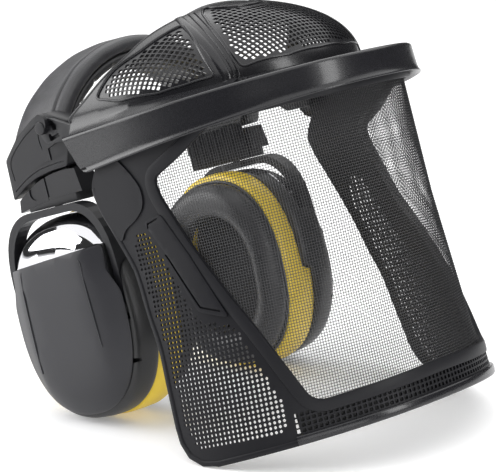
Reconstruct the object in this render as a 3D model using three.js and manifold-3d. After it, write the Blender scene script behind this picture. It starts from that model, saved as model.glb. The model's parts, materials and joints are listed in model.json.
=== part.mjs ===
// Face shield on a padded headband, with two ear cups.
//
// Everything is modelled in the wearer's frame, in millimetres: the origin is midway between the two
// ear-cup pivots, +X is the wearer's left, -Y is the way the wearer looks and +Z is up. The whole group
// is then leaned back by LEAN, because the object stands on its ear cups and the visor's lower corners,
// and it is set down on z = 0 with the origin under the middle of its box.

import * as THREE from 'three';
import { mergeVertices } from 'three/addons/utils/BufferGeometryUtils.js';
import Module from 'manifold-3d';

const wasm = await Module();
wasm.setup();

// ---------------------------------------------------------------- driving dimensions (mm, degrees)

const LEAN = 17; // how far the object leans back as it stands
const GAP = 0.3; // space left between two pieces that touch

const CUP = { halfWidth: 44.5, halfHeight: 57, power: 2.3 };
const RING_HALF_WIDTH = 42.5;
const RING_DEPTH = { inner: 46.5, outer: 62 }; // the ring's reach sideways
const FLOOR_DROP = 57; // distance from the pivots down to the floor the object stands on
const CAP_LINE = 38; // height at which the glossy cap meets the matt cover
const CAP_INNER = 70; // where the cap begins, sideways
const PIVOT_X = 80.5; // ear-cup pivots and yoke, sideways from the middle
const YOKE = { halfWidth: 42.5, top: 62.6, strip: 4.2, depth: 9 };
const COVER = { inner: 86.8, outer: 95.5 };
const LEG_END = 4.5; // rounding of the yoke's leg ends
const POCKET_Y = 36.9; // floor of the pockets for the yoke's legs in the cup's sides
const PIN = 2; // radius of the cup's pivot pins
const PIN_HEAD = { radius: 3.1, depth: 1.2 };
const CUP_TILT = 8;
const STEM_X = 75.6;
const STEM = { radius: 2.3, collar: 3, head: 3.4, headDepth: 1.4 };

const BAND = { centreZ: 58, radius: 90, thickness: 9, halfWidth: 15, endAngle: 32, rearFlare: 9 };
const SPRING = { radius: 83.6, thickness: 1.2, halfWidth: 9, endAngle: 25 };
const PAD_THICKNESS = 5.5;
const BRACKET = { inner: 66.5, outer: 81 };
const SLIDER = { inner: 67, outer: 79.6 };
const RAIL = { inner: 68, outer: 70.6, halfWidth: 8, top: 97, bottom: 66 };
const BROW_PIVOT = { y: -15, z: 108.5 };

const VISOR = { half: 92.6, flare: 13.8, flareTop: 20.5, rearY: -62.8, frontY: -173.5, power: 2.3 };
const VISOR_THICKNESS = 2.2;
const VISOR_BOTTOM = -89.2; // at the rear corners
const VISOR_RISE = 0.046; // the lower edge climbs towards the front
const BRIM = { half: 96.6, rearY: -60, frontY: -181, power: 2.3, wall: 2.2 };
const DOME = { half: 86, rearY: -60, frontY: -147, power: 2.05, foot: 104, rise: 46, taper: 1.12, wall: 2.2 };

const SIDES = { right: -1, left: 1 };

// ---------------------------------------------------------------- materials

const plastic = (color, roughness = 0.5) => (
  new THREE.MeshStandardMaterial({ color, roughness, metalness: 0 })
);
const steel = () => new THREE.MeshStandardMaterial({ color: 0x9a9da0, roughness: 0.35, metalness: 1 });
const SATIN = 0x303134;
const MATT = 0x37393c;
const GLOSS = 0x0c0c0e;
const LEATHER = 0x1d1d1f;
const YELLOW = 0xf0c812;

// ---------------------------------------------------------------- solids: booleans and placing

function toSolid(geometry) {
  const bare = new THREE.BufferGeometry();
  bare.setAttribute('position', geometry.getAttribute('position').clone());
  if (geometry.index) bare.setIndex(geometry.index.clone());
  const merged = mergeVertices(bare, 1e-4);
  const kept = [];
  const index = merged.index.array;
  for (let i = 0; i < index.length; i += 3) {
    const [a, b, c] = [index[i], index[i + 1], index[i + 2]];
    if (a !== b && b !== c && a !== c) kept.push(a, b, c);
  }
  const mesh = new wasm.Mesh({
    numProp: 3,
    vertProperties: Float32Array.from(merged.getAttribute('position').array),
    triVerts: Uint32Array.from(kept),
  });
  return new wasm.Manifold(mesh);
}

function fromSolid(solid) {
  const mesh = solid.getMesh();
  const geometry = new THREE.BufferGeometry();
  geometry.setAttribute('position', new THREE.BufferAttribute(Float32Array.from(mesh.vertProperties), 3));
  geometry.setIndex(new THREE.BufferAttribute(Uint32Array.from(mesh.triVerts), 1));
  return geometry;
}

const cut = (geometry, ...tools) =>
  fromSolid(tools.reduce((solid, tool) => solid.subtract(toSolid(tool)), toSolid(geometry)));
const join = (geometry, ...others) =>
  fromSolid(others.reduce((solid, other) => solid.add(toSolid(other)), toSolid(geometry)));
const common = (geometry, ...tools) =>
  fromSolid(tools.reduce((solid, tool) => solid.intersect(toSolid(tool)), toSolid(geometry)));

function signedVolume(geometry) {
  const p = geometry.getAttribute('position');
  const index = geometry.index.array;
  const [a, b, c] = [new THREE.Vector3(), new THREE.Vector3(), new THREE.Vector3()];
  let sum = 0;
  for (let i = 0; i < index.length; i += 3) {
    a.fromBufferAttribute(p, index[i]);
    b.fromBufferAttribute(p, index[i + 1]);
    c.fromBufferAttribute(p, index[i + 2]);
    sum += a.dot(b.cross(c)) / 6;
  }
  return sum;
}

/** Turns every face round when the solid is inside out. */
function facingOut(geometry) {
  if (signedVolume(geometry) < 0) {
    const index = geometry.index.array;
    for (let i = 0; i < index.length; i += 3) [index[i + 1], index[i + 2]] = [index[i + 2], index[i + 1]];
  }
  return geometry;
}

/** Moves every vertex of a closed three.js geometry by a function of its old place. */
function warp(geometry, place) {
  const p = geometry.getAttribute('position');
  const v = new THREE.Vector3();
  for (let i = 0; i < p.count; i++) {
    v.fromBufferAttribute(p, i);
    place(v);
    p.setXYZ(i, v.x, v.y, v.z);
  }
  return facingOut(geometry);
}

/** A box with nu x nv x nw segments whose corners run from 0 to 1, bent into place by a function. */
function bentBox(nu, nv, nw, place) {
  const box = new THREE.BoxGeometry(1, 1, 1, nu, nv, nw).translate(0.5, 0.5, 0.5);
  return warp(box, place);
}

/** The wearer's other side: the same piece mirrored in the plane x = 0. */
const forSide = (geometry, side) => warp(geometry.clone(), (v) => v.setX(side * v.x));

function block(x0, x1, y0, y1, z0, z1) {
  const box = new THREE.BoxGeometry(x1 - x0, y1 - y0, z1 - z0);
  return box.translate((x0 + x1) / 2, (y0 + y1) / 2, (z0 + z1) / 2);
}

function rodAlong(axis, radius, from, to, a, b, segments = 16) {
  const rod = new THREE.CylinderGeometry(radius, radius, to - from, segments);
  if (axis === 'x') return rod.rotateZ(Math.PI / 2).translate((from + to) / 2, a, b);
  if (axis === 'y') return rod.translate(a, (from + to) / 2, b);
  return rod.rotateX(Math.PI / 2).translate(a, b, (from + to) / 2);
}

/** Everything below the plane the object stands on. */
const belowFloor = () =>
  block(-200, 200, -300, 200, -200, -FLOOR_DROP).rotateX(THREE.MathUtils.degToRad(LEAN));

// ---------------------------------------------------------------- outlines

/** A side-view outline (y, z) pushed through from x0 to x1. */
function sidePrism(shape, x0, x1, curveSegments = 8) {
  const prism = new THREE.ExtrudeGeometry(shape, { depth: x1 - x0, bevelEnabled: false, curveSegments });
  const sideways = new THREE.Matrix4().makeBasis(
    new THREE.Vector3(0, 1, 0),
    new THREE.Vector3(0, 0, 1),
    new THREE.Vector3(1, 0, 0),
  );
  return facingOut(indexed(prism.applyMatrix4(sideways).translate(x0, 0, 0)));
}

/** A front-view outline (x, z) pushed through from y0 to y1. */
function frontPrism(shape, y0, y1, curveSegments = 8) {
  const prism = new THREE.ExtrudeGeometry(shape, { depth: y1 - y0, bevelEnabled: false, curveSegments });
  return warp(indexed(prism), (v) => v.set(v.x, v.z + y0, v.y));
}

/** A plan outline (x, y) pushed up from z0 to z1. */
function planPrism(shape, z0, z1, curveSegments = 8) {
  const prism = new THREE.ExtrudeGeometry(shape, { depth: z1 - z0, bevelEnabled: false, curveSegments });
  return indexed(prism.translate(0, 0, z0));
}

function indexed(geometry) {
  geometry.deleteAttribute('normal');
  geometry.deleteAttribute('uv');
  return mergeVertices(geometry, 1e-4);
}

const polygon = (points) => new THREE.Shape(points.map(([a, b]) => new THREE.Vector2(a, b)));

/** A closed outline whose corners are rounded to the given radius. */
function roundedPolygon(points, radius) {
  const shape = new THREE.Shape();
  const corner = points.map(([a, b]) => new THREE.Vector2(a, b));
  corner.forEach((at, i) => {
    const before = corner[(i + corner.length - 1) % corner.length];
    const after = corner[(i + 1) % corner.length];
    const reach = Math.min(radius, at.distanceTo(before) / 2.2, at.distanceTo(after) / 2.2);
    const start = at.clone().add(before.clone().sub(at).setLength(reach));
    const end = at.clone().add(after.clone().sub(at).setLength(reach));
    if (i === 0) shape.moveTo(start.x, start.y);
    else shape.lineTo(start.x, start.y);
    shape.quadraticCurveTo(at.x, at.y, end.x, end.y);
  });
  shape.closePath();
  return shape;
}

const signedPower = (value, power) => Math.sign(value) * Math.abs(value) ** power;

/**
 * A point of a U-shaped plan, t = 0 at the wearer's right rear end, 0.5 in front and 1 at the left rear
 * end: straight sides back to rearEnd, then a superellipse round the front.
 */
function planPoint(t, form, rearEnd) {
  const straight = rearEnd - form.rearY;
  const share = (0.5 * straight) / (straight + (form.rearY - form.frontY) * 1.25);
  if (t < share) return [-form.half, rearEnd - (t / share) * straight];
  if (t > 1 - share) return [form.half, rearEnd - ((1 - t) / share) * straight];
  const angle = (Math.PI * (t - share)) / (1 - 2 * share);
  const power = 2 / form.power;
  return [
    -form.half * signedPower(Math.cos(angle), power),
    form.rearY - (form.rearY - form.frontY) * signedPower(Math.sin(angle), power),
  ];
}

/** The same plan moved inwards by a distance, square to the plan. */
function planOffset(t, form, rearEnd, inwards) {
  const step = 0.002;
  const [x, y] = planPoint(t, form, rearEnd);
  const [xa, ya] = planPoint(Math.max(t - step, 0), form, rearEnd);
  const [xb, yb] = planPoint(Math.min(t + step, 1), form, rearEnd);
  const length = Math.hypot(xb - xa, yb - ya);
  return [x - ((yb - ya) / length) * inwards, y + ((xb - xa) / length) * inwards];
}

// ---------------------------------------------------------------- ear cups

/** Maps a lathe's round section to the cup's tall outline; the lathe's height becomes the depth |x|. */
function cupForm(profile, halfWidth = CUP.halfWidth, segments = 26) {
  const lathe = new THREE.LatheGeometry(profile.map(([r, h]) => new THREE.Vector2(r, h)), segments);
  const power = 2 / CUP.power;
  return warp(indexed(lathe), (v) => {
    const radius = Math.hypot(v.x, v.z);
    const [c, s] = radius > 1e-6 ? [v.x / radius, v.z / radius] : [1, 0];
    v.set(
      v.y,
      radius * halfWidth * signedPower(c, power),
      radius * CUP.halfHeight * signedPower(s, power),
    );
  });
}

/** The space a yoke leg needs in the cup's sides while the cup tilts on its pins. */
function legPockets() {
  const side = YOKE.depth / 2 + 0.8;
  const fan = Math.tan(THREE.MathUtils.degToRad(CUP_TILT));
  const outline = [
    [-side - 1.2, -LEG_END - 2], [-side, 0], [-side - YOKE.top * fan, YOKE.top],
    [side + YOKE.top * fan, YOKE.top], [side, 0], [side + 1.2, -LEG_END - 2],
  ];
  const pocket = frontPrism(polygon(outline.map(([x, z]) => [x + PIVOT_X, z])), POCKET_Y, 60);
  return [pocket, warp(pocket.clone(), (v) => v.setY(-v.y))];
}

/** The cup's hard body: a shoulder, the outer face, and a hollow for the foam. */
function cupShell() {
  const body = cupForm([
    [0, 86.5], [0.9, 86.5], [0.95, 84], [0.985, 77], [1, 70], [1, RING_DEPTH.outer + GAP],
    [0.88, RING_DEPTH.outer + GAP], [0.87, 68], [0.78, 74], [0.74, 79], [0.62, 82], [0, 82],
  ]);
  const underCap = block(CAP_INNER - GAP, 120, -60, 60, CAP_LINE - GAP, 80);
  return cut(body, underCap, ...legPockets(), ...pinBores(PIN + GAP), belowFloor());
}

/** The glossy cap: the top of the cup, outside the shell. */
function cupCap() {
  const body = cupForm([
    [0, 90.5], [0.5, 91.1], [0.68, 89.9], [0.82, 87], [0.93, 81], [0.985, 75], [1, CAP_INNER],
    [0.9, CAP_INNER], [0.84, 77], [0.7, 82], [0, 82],
  ]);
  const top = block(CAP_INNER - 1, 120, -60, 60, CAP_LINE + GAP, 80);
  return cut(common(body, top), ...legPockets());
}

/** The matt cover on the outer face, with two long facets that fall away to the front and the back. */
function cupCover() {
  const body = cupForm([
    [0, COVER.outer], [0.5, COVER.outer], [0.72, COVER.outer - 1.4], [0.86, COVER.outer - 4.4],
    [0.93, COVER.outer - 7], [0.94, COVER.inner], [0.6, COVER.inner], [0, COVER.inner],
  ]);
  const base = COVER.inner + 0.4;
  const faceted = warp(body, (v) => {
    const beyond = Math.max(Math.abs(v.y) - 18 - (CAP_LINE - v.z) * 0.06, 0);
    if (v.x > base) v.setX(base + (v.x - base) * Math.max(1 - beyond * 0.022, 0.25));
  });
  const kept = common(faceted, block(60, 120, -60, 60, -60, CAP_LINE - GAP));
  return cut(kept, ...legPockets(), belowFloor());
}

/** The coloured collar between the cushion and the cup's hard body. */
function cushionRing() {
  const { inner, outer } = RING_DEPTH;
  return cut(cupForm([
    [0.86, inner], [0.97, inner], [1.02, inner + 2], [1.02, outer - 2],
    [1, outer], [0.86, outer], [0.86, inner],
  ], RING_HALF_WIDTH), belowFloor());
}

function earCushion() {
  const section = [
    [0.58, 38], [0.62, 32.5], [0.74, 30.5], [0.87, 32], [0.96, 38],
    [0.94, RING_DEPTH.inner - GAP], [0.6, RING_DEPTH.inner - GAP], [0.58, 38],
  ];
  return cupForm(section, RING_HALF_WIDTH);
}

const foamInsert = () => cupForm([[0, 58], [0.76, 58], [0.82, 60], [0.82, 64], [0.72, 70], [0, 72]]);

/** A pin from the cup's side into the yoke's eye, with a washer between them and a sunk head. */
function pivotPin(direction) {
  const along = (radius, from, to, segments) => rodAlong(
    'y', radius, Math.min(from * direction, to * direction), Math.max(from * direction, to * direction),
    PIVOT_X, 0, segments,
  );
  const head = YOKE.halfWidth - PIN_HEAD.depth;
  return join(
    along(PIN, 33, YOKE.halfWidth - 0.2),
    along(3.6, POCKET_Y + GAP, YOKE.halfWidth - YOKE.strip - GAP),
    along(PIN_HEAD.radius, head, YOKE.halfWidth - 0.2, 20),
  );
}

const pinBores = (radius) => [-1, 1].map((direction) =>
  rodAlong('y', radius, direction > 0 ? 32.5 : -60, direction > 0 ? 60 : -32.5, PIVOT_X, 0));

// ---------------------------------------------------------------- yokes

/** The yoke's outline: an arch on two straight legs. */
function yokeArch(inset) {
  const half = YOKE.halfWidth - inset;
  const top = YOKE.top - inset;
  const shape = new THREE.Shape();
  shape.moveTo(-half, 0);
  shape.lineTo(-half, 24);
  shape.bezierCurveTo(-half, top - 8, -half + 14, top, -16, top);
  shape.lineTo(16, top);
  shape.bezierCurveTo(half - 14, top, half, top - 8, half, 24);
  shape.lineTo(half, 0);
  shape.closePath();
  return shape;
}

function yoke() {
  const half = YOKE.depth / 2;
  const outer = sidePrism(yokeArch(0), PIVOT_X - half, PIVOT_X + half, 10);
  const inner = join(
    sidePrism(yokeArch(YOKE.strip), PIVOT_X - half - 1, PIVOT_X + half + 1, 10),
    block(PIVOT_X - 9, PIVOT_X + 9, YOKE.strip - YOKE.halfWidth, YOKE.halfWidth - YOKE.strip, -9, 1),
  );
  const eyes = [-1, 1].map((direction) => {
    const [a, b] = [direction * YOKE.halfWidth, direction * (YOKE.halfWidth - YOKE.strip)];
    return rodAlong('y', LEG_END, Math.min(a, b), Math.max(a, b), PIVOT_X, 0, 24);
  });
  const tab = planPrism(
    roundedPolygon([[71, -9], [79, -15], [79, 15], [71, 9]], 3), YOKE.top - YOKE.strip, YOKE.top,
  );
  const headSeats = [-1, 1].map((direction) => {
    const [a, b] = [direction * (YOKE.halfWidth - PIN_HEAD.depth - GAP), direction * (YOKE.halfWidth + 2)];
    return rodAlong('y', PIN_HEAD.radius + GAP, Math.min(a, b), Math.max(a, b), PIVOT_X, 0, 20);
  });
  const under = YOKE.top - YOKE.strip;
  const stemBore = join(
    rodAlong('z', STEM.radius + GAP, 50, 70, STEM_X, 0),
    rodAlong('z', STEM.head + GAP, 50, under + STEM.headDepth + GAP, STEM_X, 0),
  );
  return cut(cut(join(outer, ...eyes, tab), inner), ...pinBores(PIN + GAP), ...headSeats, stemBore);
}

/** The stem the yoke swivels on: a head sunk in the yoke and a collar held in the slider block. */
function yokeStem() {
  const under = YOKE.top - YOKE.strip;
  return join(
    rodAlong('z', STEM.radius, under, 76, STEM_X, 0),
    rodAlong('z', STEM.head, under, under + STEM.headDepth, STEM_X, 0),
    rodAlong('z', STEM.collar, 71.5, 74, STEM_X, 0),
  );
}

// ---------------------------------------------------------------- height sliders

function sliderOutline() {
  const shape = new THREE.Shape();
  shape.moveTo(27, 63.6);
  shape.lineTo(25.5, 70.4);
  shape.quadraticCurveTo(4, 83.5, -23, 80.7);
  shape.lineTo(-25, 67.4);
  shape.quadraticCurveTo(0, 68.6, 27, 63.6);
  return shape;
}

function sliderBlock() {
  const body = sidePrism(sliderOutline(), SLIDER.inner, SLIDER.outer, 10);
  const railSlot = block(
    RAIL.inner - GAP, RAIL.outer + GAP, -RAIL.halfWidth - GAP, RAIL.halfWidth + GAP, RAIL.bottom - GAP, 90,
  );
  const stemBore = join(
    rodAlong('z', STEM.radius + GAP, 60, 76.4, STEM_X, 0),
    rodAlong('z', STEM.collar + GAP, 71.2, 74.3, STEM_X, 0),
  );
  const groove = block(SLIDER.outer - 0.7, SLIDER.outer + 1, 1, 2.4, 64, 90);
  const recess = rodAlong('x', 4.5, SLIDER.outer - 0.7, SLIDER.outer + 1, 12, 73, 20);
  return cut(body, railSlot, stemBore, groove, recess);
}

function sliderRail() {
  const strip = block(RAIL.inner, RAIL.outer, -RAIL.halfWidth, RAIL.halfWidth, RAIL.bottom, RAIL.top);
  const notches = [0, 1, 2, 3, 4].map((i) =>
    rodAlong('x', 1.4, RAIL.inner - 1, RAIL.outer + 1, RAIL.halfWidth, 75 + i * 4.5, 12));
  return cut(strip, ...notches);
}

// ---------------------------------------------------------------- headband and its brackets

/** A strip that follows the headband's arch between two radii, with the given rounding of its edges. */
function bandStrip(inner, outer, halfWidth, endAngle, segments = 26, crown = 0, flare = 0) {
  const start = THREE.MathUtils.degToRad(endAngle);
  const across = crown > 0 ? 4 : 1;
  return bentBox(segments, across, 1, (v) => {
    const angle = start + v.x * (Math.PI - 2 * start);
    const side = 2 * v.y - 1;
    const fall = crown * side ** 4;
    const radius = v.z > 0.5 ? outer - fall : inner + Math.min(fall, crown) * 0.5;
    const rearwards = flare * Math.max(side, 0) * Math.abs(Math.cos(angle)) ** 0.6;
    v.set(-radius * Math.cos(angle), side * halfWidth + rearwards, BAND.centreZ + radius * Math.sin(angle));
  });
}

function headbandCover() {
  const inner = BAND.radius - BAND.thickness;
  const sleeve = bandStrip(inner, BAND.radius, BAND.halfWidth, BAND.endAngle, 26, 2.6, BAND.rearFlare);
  const half = SPRING.thickness / 2 + GAP;
  const pocket = bandStrip(
    SPRING.radius - half, SPRING.radius + half, SPRING.halfWidth + GAP, BAND.endAngle - 3, 26,
  );
  return cut(sleeve, pocket);
}

const headbandSpring = () => bandStrip(
  SPRING.radius - SPRING.thickness / 2,
  SPRING.radius + SPRING.thickness / 2,
  SPRING.halfWidth,
  SPRING.endAngle,
);

function headbandPad() {
  const outer = BAND.radius - BAND.thickness - GAP;
  const halfWidth = BAND.halfWidth - 1.5;
  return bandStrip(outer - PAD_THICKNESS, outer, halfWidth, BAND.endAngle + 8, 26, 1.4, BAND.rearFlare);
}

function bracketOutline() {
  const shape = new THREE.Shape();
  shape.moveTo(-12, 113.5);
  shape.lineTo(-1, 113.5);
  shape.lineTo(13.4, 105.5);
  shape.lineTo(27.6, 94);
  shape.lineTo(29, 72.8);
  shape.quadraticCurveTo(9, 87.5, -18.5, 84.2);
  shape.lineTo(-22.5, 92);
  shape.lineTo(-28, 100);
  shape.quadraticCurveTo(-29, 108, -12, 113.5);
  return shape;
}

function bracketHousing() {
  const body = sidePrism(bracketOutline(), BRACKET.inner + 2.8, BRACKET.outer, 8);
  const clear = BAND.halfWidth + GAP;
  const bandSpace = bandStrip(
    BAND.radius - BAND.thickness - GAP - 9, BAND.radius + GAP,
    clear, BAND.endAngle - 0.4, 26, 0, BAND.rearFlare,
  );
  const springSlot = bandStrip(
    SPRING.radius - 1, SPRING.radius + 1, SPRING.halfWidth + GAP, SPRING.endAngle - 0.6, 26,
  );
  const channel = block(
    RAIL.inner - 2, RAIL.outer + GAP, -RAIL.halfWidth - GAP, RAIL.halfWidth + GAP, 60, RAIL.top + 3,
  );
  const { outer } = BRACKET;
  const latchSeat = sidePrism(polygon(latchPoints(GAP)), outer - 3, outer + 3);
  const pinBore = rodAlong('x', 2.6 + GAP, outer - 4.1, outer + 2, BROW_PIVOT.y, BROW_PIVOT.z);
  const screws = bracketScrewPlaces().map(([y, z]) => rodAlong('x', 1.5 + GAP, 60, 76, y, z, 10));
  const facet = sidePrism(polygon([[14, 105.6], [40, 84], [40, 60], [27, 60], [22, 88]]), outer - 1.2, 90);
  return cut(body, bandSpace, springSlot, channel, latchSeat, pinBore, facet, ...screws);
}

/** The plate that closes the bracket on the wearer's side and keeps the rail in its channel. */
function bracketPlate() {
  const body = sidePrism(bracketOutline(), BRACKET.inner, BRACKET.inner + 2.8 - GAP, 8);
  const low = block(60, 80, -60, 60, 60, 99);
  const rail = block(
    RAIL.inner - GAP, RAIL.outer, -RAIL.halfWidth - GAP, RAIL.halfWidth + GAP, 60, RAIL.top + 3,
  );
  const screws = bracketScrewPlaces().map(([y, z]) => rodAlong('x', 1.5 + GAP, 60, 76, y, z, 10));
  return cut(common(body, low), rail, ...screws);
}

const bracketScrewPlaces = () => [[-15, 92], [19, 87]];

function bracketScrew([y, z]) {
  const head = rodAlong('x', 2.9, BRACKET.inner - 1.6, BRACKET.inner - GAP, y, z);
  const shank = rodAlong('x', 1.5, BRACKET.inner - 1, BRACKET.inner + 8, y, z, 10);
  return join(head, shank);
}

const latchPoints = (grow) => [
  [-17 - grow, 96.5 - grow], [-9.5 - grow, 94.5 - grow], [-9.5 - grow, 88 - grow], [-5 + grow, 88 - grow],
  [-5 + grow, 98 + grow], [-17 - grow, 100.5 + grow],
];

/** The hooked latch that holds the brow guard's arm down. */
const latch = () => sidePrism(polygon(latchPoints(0)), BRACKET.outer - 2.6, BRACKET.outer + 1);

function browPin() {
  const shaft = rodAlong('x', 2.6, BRACKET.outer - 3.8, 87, BROW_PIVOT.y, BROW_PIVOT.z, 20);
  const boss = rodAlong('x', 1, 86.2, 88.6, 0, 0, 24)
    .scale(1, 4.2, 5)
    .translate(0, BROW_PIVOT.y, BROW_PIVOT.z);
  return join(shaft, facingOut(boss));
}

// ---------------------------------------------------------------- brow guard

/** Height of the brim's lower and upper edges at a place along the wearer's Y. */
const brimLow = (y) => 75.5 + 0.085 * (-47 - y);
const brimHigh = (y) => 97.6 + 0.034 * (-47 - y);

/** The brim's section, outwards and up from its lower edge: [outwards, share of the height, drop]. */
const BRIM_SECTION = [
  [1.4, 0, 0], [0.4, 0.07, 0], [0, 0.2, 0], [-0.2, 0.55, 0], [-0.8, 0.85, 0], [-1.8, 0.98, 0],
  [-3.2, 1, 0.2], [-4.2, 1, 1.8], [-6, 1, 2.2],
];

/** The rear ends slope forward from the top edge to the rounded lower corner. */
function brimSideOutline() {
  const shape = new THREE.Shape();
  shape.moveTo(-220, 130);
  shape.lineTo(-34, 130);
  shape.lineTo(-36, 98);
  shape.lineTo(-44.8, 79.5);
  shape.quadraticCurveTo(-46.5, 75.5, -51, 76);
  shape.lineTo(-60, 60);
  shape.lineTo(-220, 60);
  return shape;
}

function brimBand() {
  const last = BRIM_SECTION.length - 1;
  const body = bentBox(34, last, 1, (v) => {
    const [out, share, drop] = BRIM_SECTION[Math.round(v.y * last)];
    const next = BRIM_SECTION[Math.min(Math.round(v.y * last) + 1, last)];
    const steep = Math.abs(next[0] - out) > 2.5 || share === 1 ? 0.15 : 1;
    const inwards = -out + (v.z < 0.5 ? BRIM.wall * steep : 0);
    const [x, y] = planOffset(v.x, BRIM, -30, inwards);
    const low = brimLow(y);
    const below = v.z < 0.5 ? (1 - steep) * BRIM.wall : 0;
    v.set(x, y, low + (brimHigh(y) - low) * share - drop - below);
  });
  return common(body, sidePrism(brimSideOutline(), -130, 130, 6));
}

/** The dome stands in the channel of the brim's upper edge. */
const domeLow = (y) => brimHigh(y) - 1.5;

/**
 * The dome's skin between two depths below its outer surface: a sloping shelf from the brim's channel
 * to the dome's foot, then a quarter turn up to the crown.
 */
function domeSkin(outer, inner) {
  const shelfShare = 0.2;
  return bentBox(30, 10, 1, (v) => {
    const depth = v.z < 0.5 ? outer : inner;
    const form = { ...DOME, half: DOME.half - depth, frontY: DOME.frontY + depth };
    const [footX, footY] = planPoint(v.x, form, -30);
    if (v.y < shelfShare) {
      const [x, y] = planOffset(v.x, BRIM, -30, 4.8 + depth * 0.4);
      const up = v.y / shelfShare;
      const climb = (DOME.foot - domeLow(y)) * up ** 1.3;
      const sink = depth * 0.8 * Math.min(2 * up, 1);
      v.set(x + (footX - x) * up, y + (footY - y) * up, domeLow(y) + climb - sink);
      return;
    }
    const turn = (1.5 * (v.y - shelfShare)) / (1 - shelfShare);
    const ahead = Math.min(footY - DOME.rearY, 0);
    const narrowing = Math.cos(turn) ** DOME.taper;
    v.set(
      footX * narrowing,
      footY - ahead * (1 - narrowing),
      DOME.foot - depth * 0.8 * Math.cos(turn) + (DOME.rise - depth) * Math.sin(turn),
    );
  });
}

/** What the dome keeps in side view: above the brim and ahead of the sloping rear rim. */
function domeSideOutline(forward = 0) {
  const shape = new THREE.Shape();
  shape.moveTo(-240, 60);
  shape.lineTo(-240, 170);
  shape.lineTo(-84 - forward, 170);
  const rim = [[-83, 150], [-79, 138], [-71, 130], [-61, 122.5], [-49, 114], [-38.5, 106.5]];
  shape.splineThru(rim.map(([y, z]) => new THREE.Vector2(y - forward, z)));
  shape.lineTo(-37 - forward, 60);
  return shape;
}

/** Plan outlines of the vented panels and the top plate, for the wearer's left half. */
const PANEL_LOW = { side: 107.5, front: 109.5 }; // heights of the panels' lower edges
const SIDE_PANEL = [[86, -57], [67.5, -78], [45, -93], [53, -107], [61, -124], [74, -112], [84, -90]];
const FRONT_PANEL = [[17, -90], [40, -112], [49.5, -133], [24, -148], [0, -150]];
const TOP_PLATE = [[17, -78], [19, -108], [11, -121], [0, -123]];

const mirrorPlan = (points) => [...points, ...points.slice(0, -1).reverse().map(([x, y]) => [-x, y])];

const sidePanelPrism = (shrink) =>
  planPrism(roundedPolygon(inset(SIDE_PANEL, shrink), 5), PANEL_LOW.side + shrink, 170, 4);

/** Moves an outline's corners towards its middle by a distance. */
function inset(points, distance) {
  const share = 1 / points.length;
  const middle = points.reduce((sum, [x, y]) => [sum[0] + x * share, sum[1] + y * share], [0, 0]);
  return points.map(([x, y]) => {
    const length = Math.hypot(x - middle[0], y - middle[1]);
    const share = 1 - distance / length;
    return [middle[0] + (x - middle[0]) * share, middle[1] + (y - middle[1]) * share];
  });
}

function frontPanelPrism(shrink) {
  const outline = roundedPolygon(inset(mirrorPlan(FRONT_PANEL), shrink), 5);
  const outer = planPrism(outline, PANEL_LOW.front + shrink, 170, 4);
  const plate = planPrism(roundedPolygon(inset(mirrorPlan(TOP_PLATE), -shrink), 4), 50, 180, 4);
  return cut(outer, plate);
}

/** The moulded dome: shelf, two ribs and the smooth plate on top, with openings for the vented panels. */
function domeShell() {
  const side = sidePrism(domeSideOutline(), -130, 130, 8);
  const base = common(domeSkin(0, DOME.wall), side);
  const rib = common(
    domeSkin(-0.8, 0.5),
    planPrism(polygon([[28, -80], [35, -82], [57, -140], [64, -170], [59, -174], [51, -140]]), 60, 170),
    side,
  );
  const openings = [forSide(sidePanelPrism(0), 1), forSide(sidePanelPrism(0), -1), frontPanelPrism(0)];
  return cut(join(base, rib, forSide(rib, -1)), ...openings);
}

const grilleSheet = (prism) => common(domeSkin(0.4, 1.8), prism);

/** The arm that carries the brim on the bracket's pivot. */
function browArm() {
  const { y, z } = BROW_PIVOT;
  const outer = 85.6;
  const eye = rodAlong('x', 6.5, BRACKET.outer + 1.2, outer, y, z, 20);
  const strap = sidePrism(
    polygon([[y - 1, z - 6.4], [y - 1, z + 6.4], [-35, 98.5], [-60, 93], [-60, 84], [-43, 84]]),
    BRACKET.outer + 1.2, outer,
  );
  const footOutline = roundedPolygon([[-39.5, 91.5], [-50, 91.5], [-50, 84], [-43, 84]], 2);
  const foot = sidePrism(footOutline, outer - 1, 93.6);
  const bore = rodAlong('x', 2.6 + GAP, 70, 95, y, z);
  return cut(join(eye, strap, foot), bore);
}

// ---------------------------------------------------------------- visor

/** The visor's curved sheet between two distances inwards, from z0 up to a height under the brim. */
function visorSheet(from, to, z0, z1 = 0) {
  return bentBox(34, 2, 1, (v) => {
    const inwards = v.z > 0.5 ? to : from;
    const [, frontish] = planPoint(v.x, VISOR, -40);
    const top = z1 || brimHigh(frontish) - 7;
    const bend = z0 < VISOR.flareTop ? VISOR.flareTop : (z0 + top) / 2;
    const z = v.y < 0.5 ? z0 + 2 * v.y * (bend - z0) : bend + (2 * v.y - 1) * (top - bend);
    const spread = VISOR.flare * Math.max((VISOR.flareTop - z) / (VISOR.flareTop - VISOR_BOTTOM), 0);
    const [x, y] = planOffset(v.x, { ...VISOR, half: VISOR.half + spread }, -40, inwards);
    v.set(x, y, z);
  });
}

/** Height of the visor's lower edge at a place along the wearer's Y. */
const visorFoot = (y) => VISOR_BOTTOM + VISOR_RISE * (-97 - y);

function visorOutline() {
  const shape = new THREE.Shape();
  shape.moveTo(-200, 110);
  shape.lineTo(-54, 110);
  shape.lineTo(-52, 77);
  const upper = [[-46, 67], [-47.5, 56], [-53, 42], [-62, 18]];
  const rear = [...upper, [-66.5, -6], [-70.5, -24], [-72, -45], [-73.5, -66]];
  shape.splineThru(rear.map(([y, z]) => new THREE.Vector2(y, z)));
  shape.quadraticCurveTo(-76, -86, -97, VISOR_BOTTOM);
  shape.lineTo(-200, visorFoot(-200));
  return shape;
}

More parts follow.
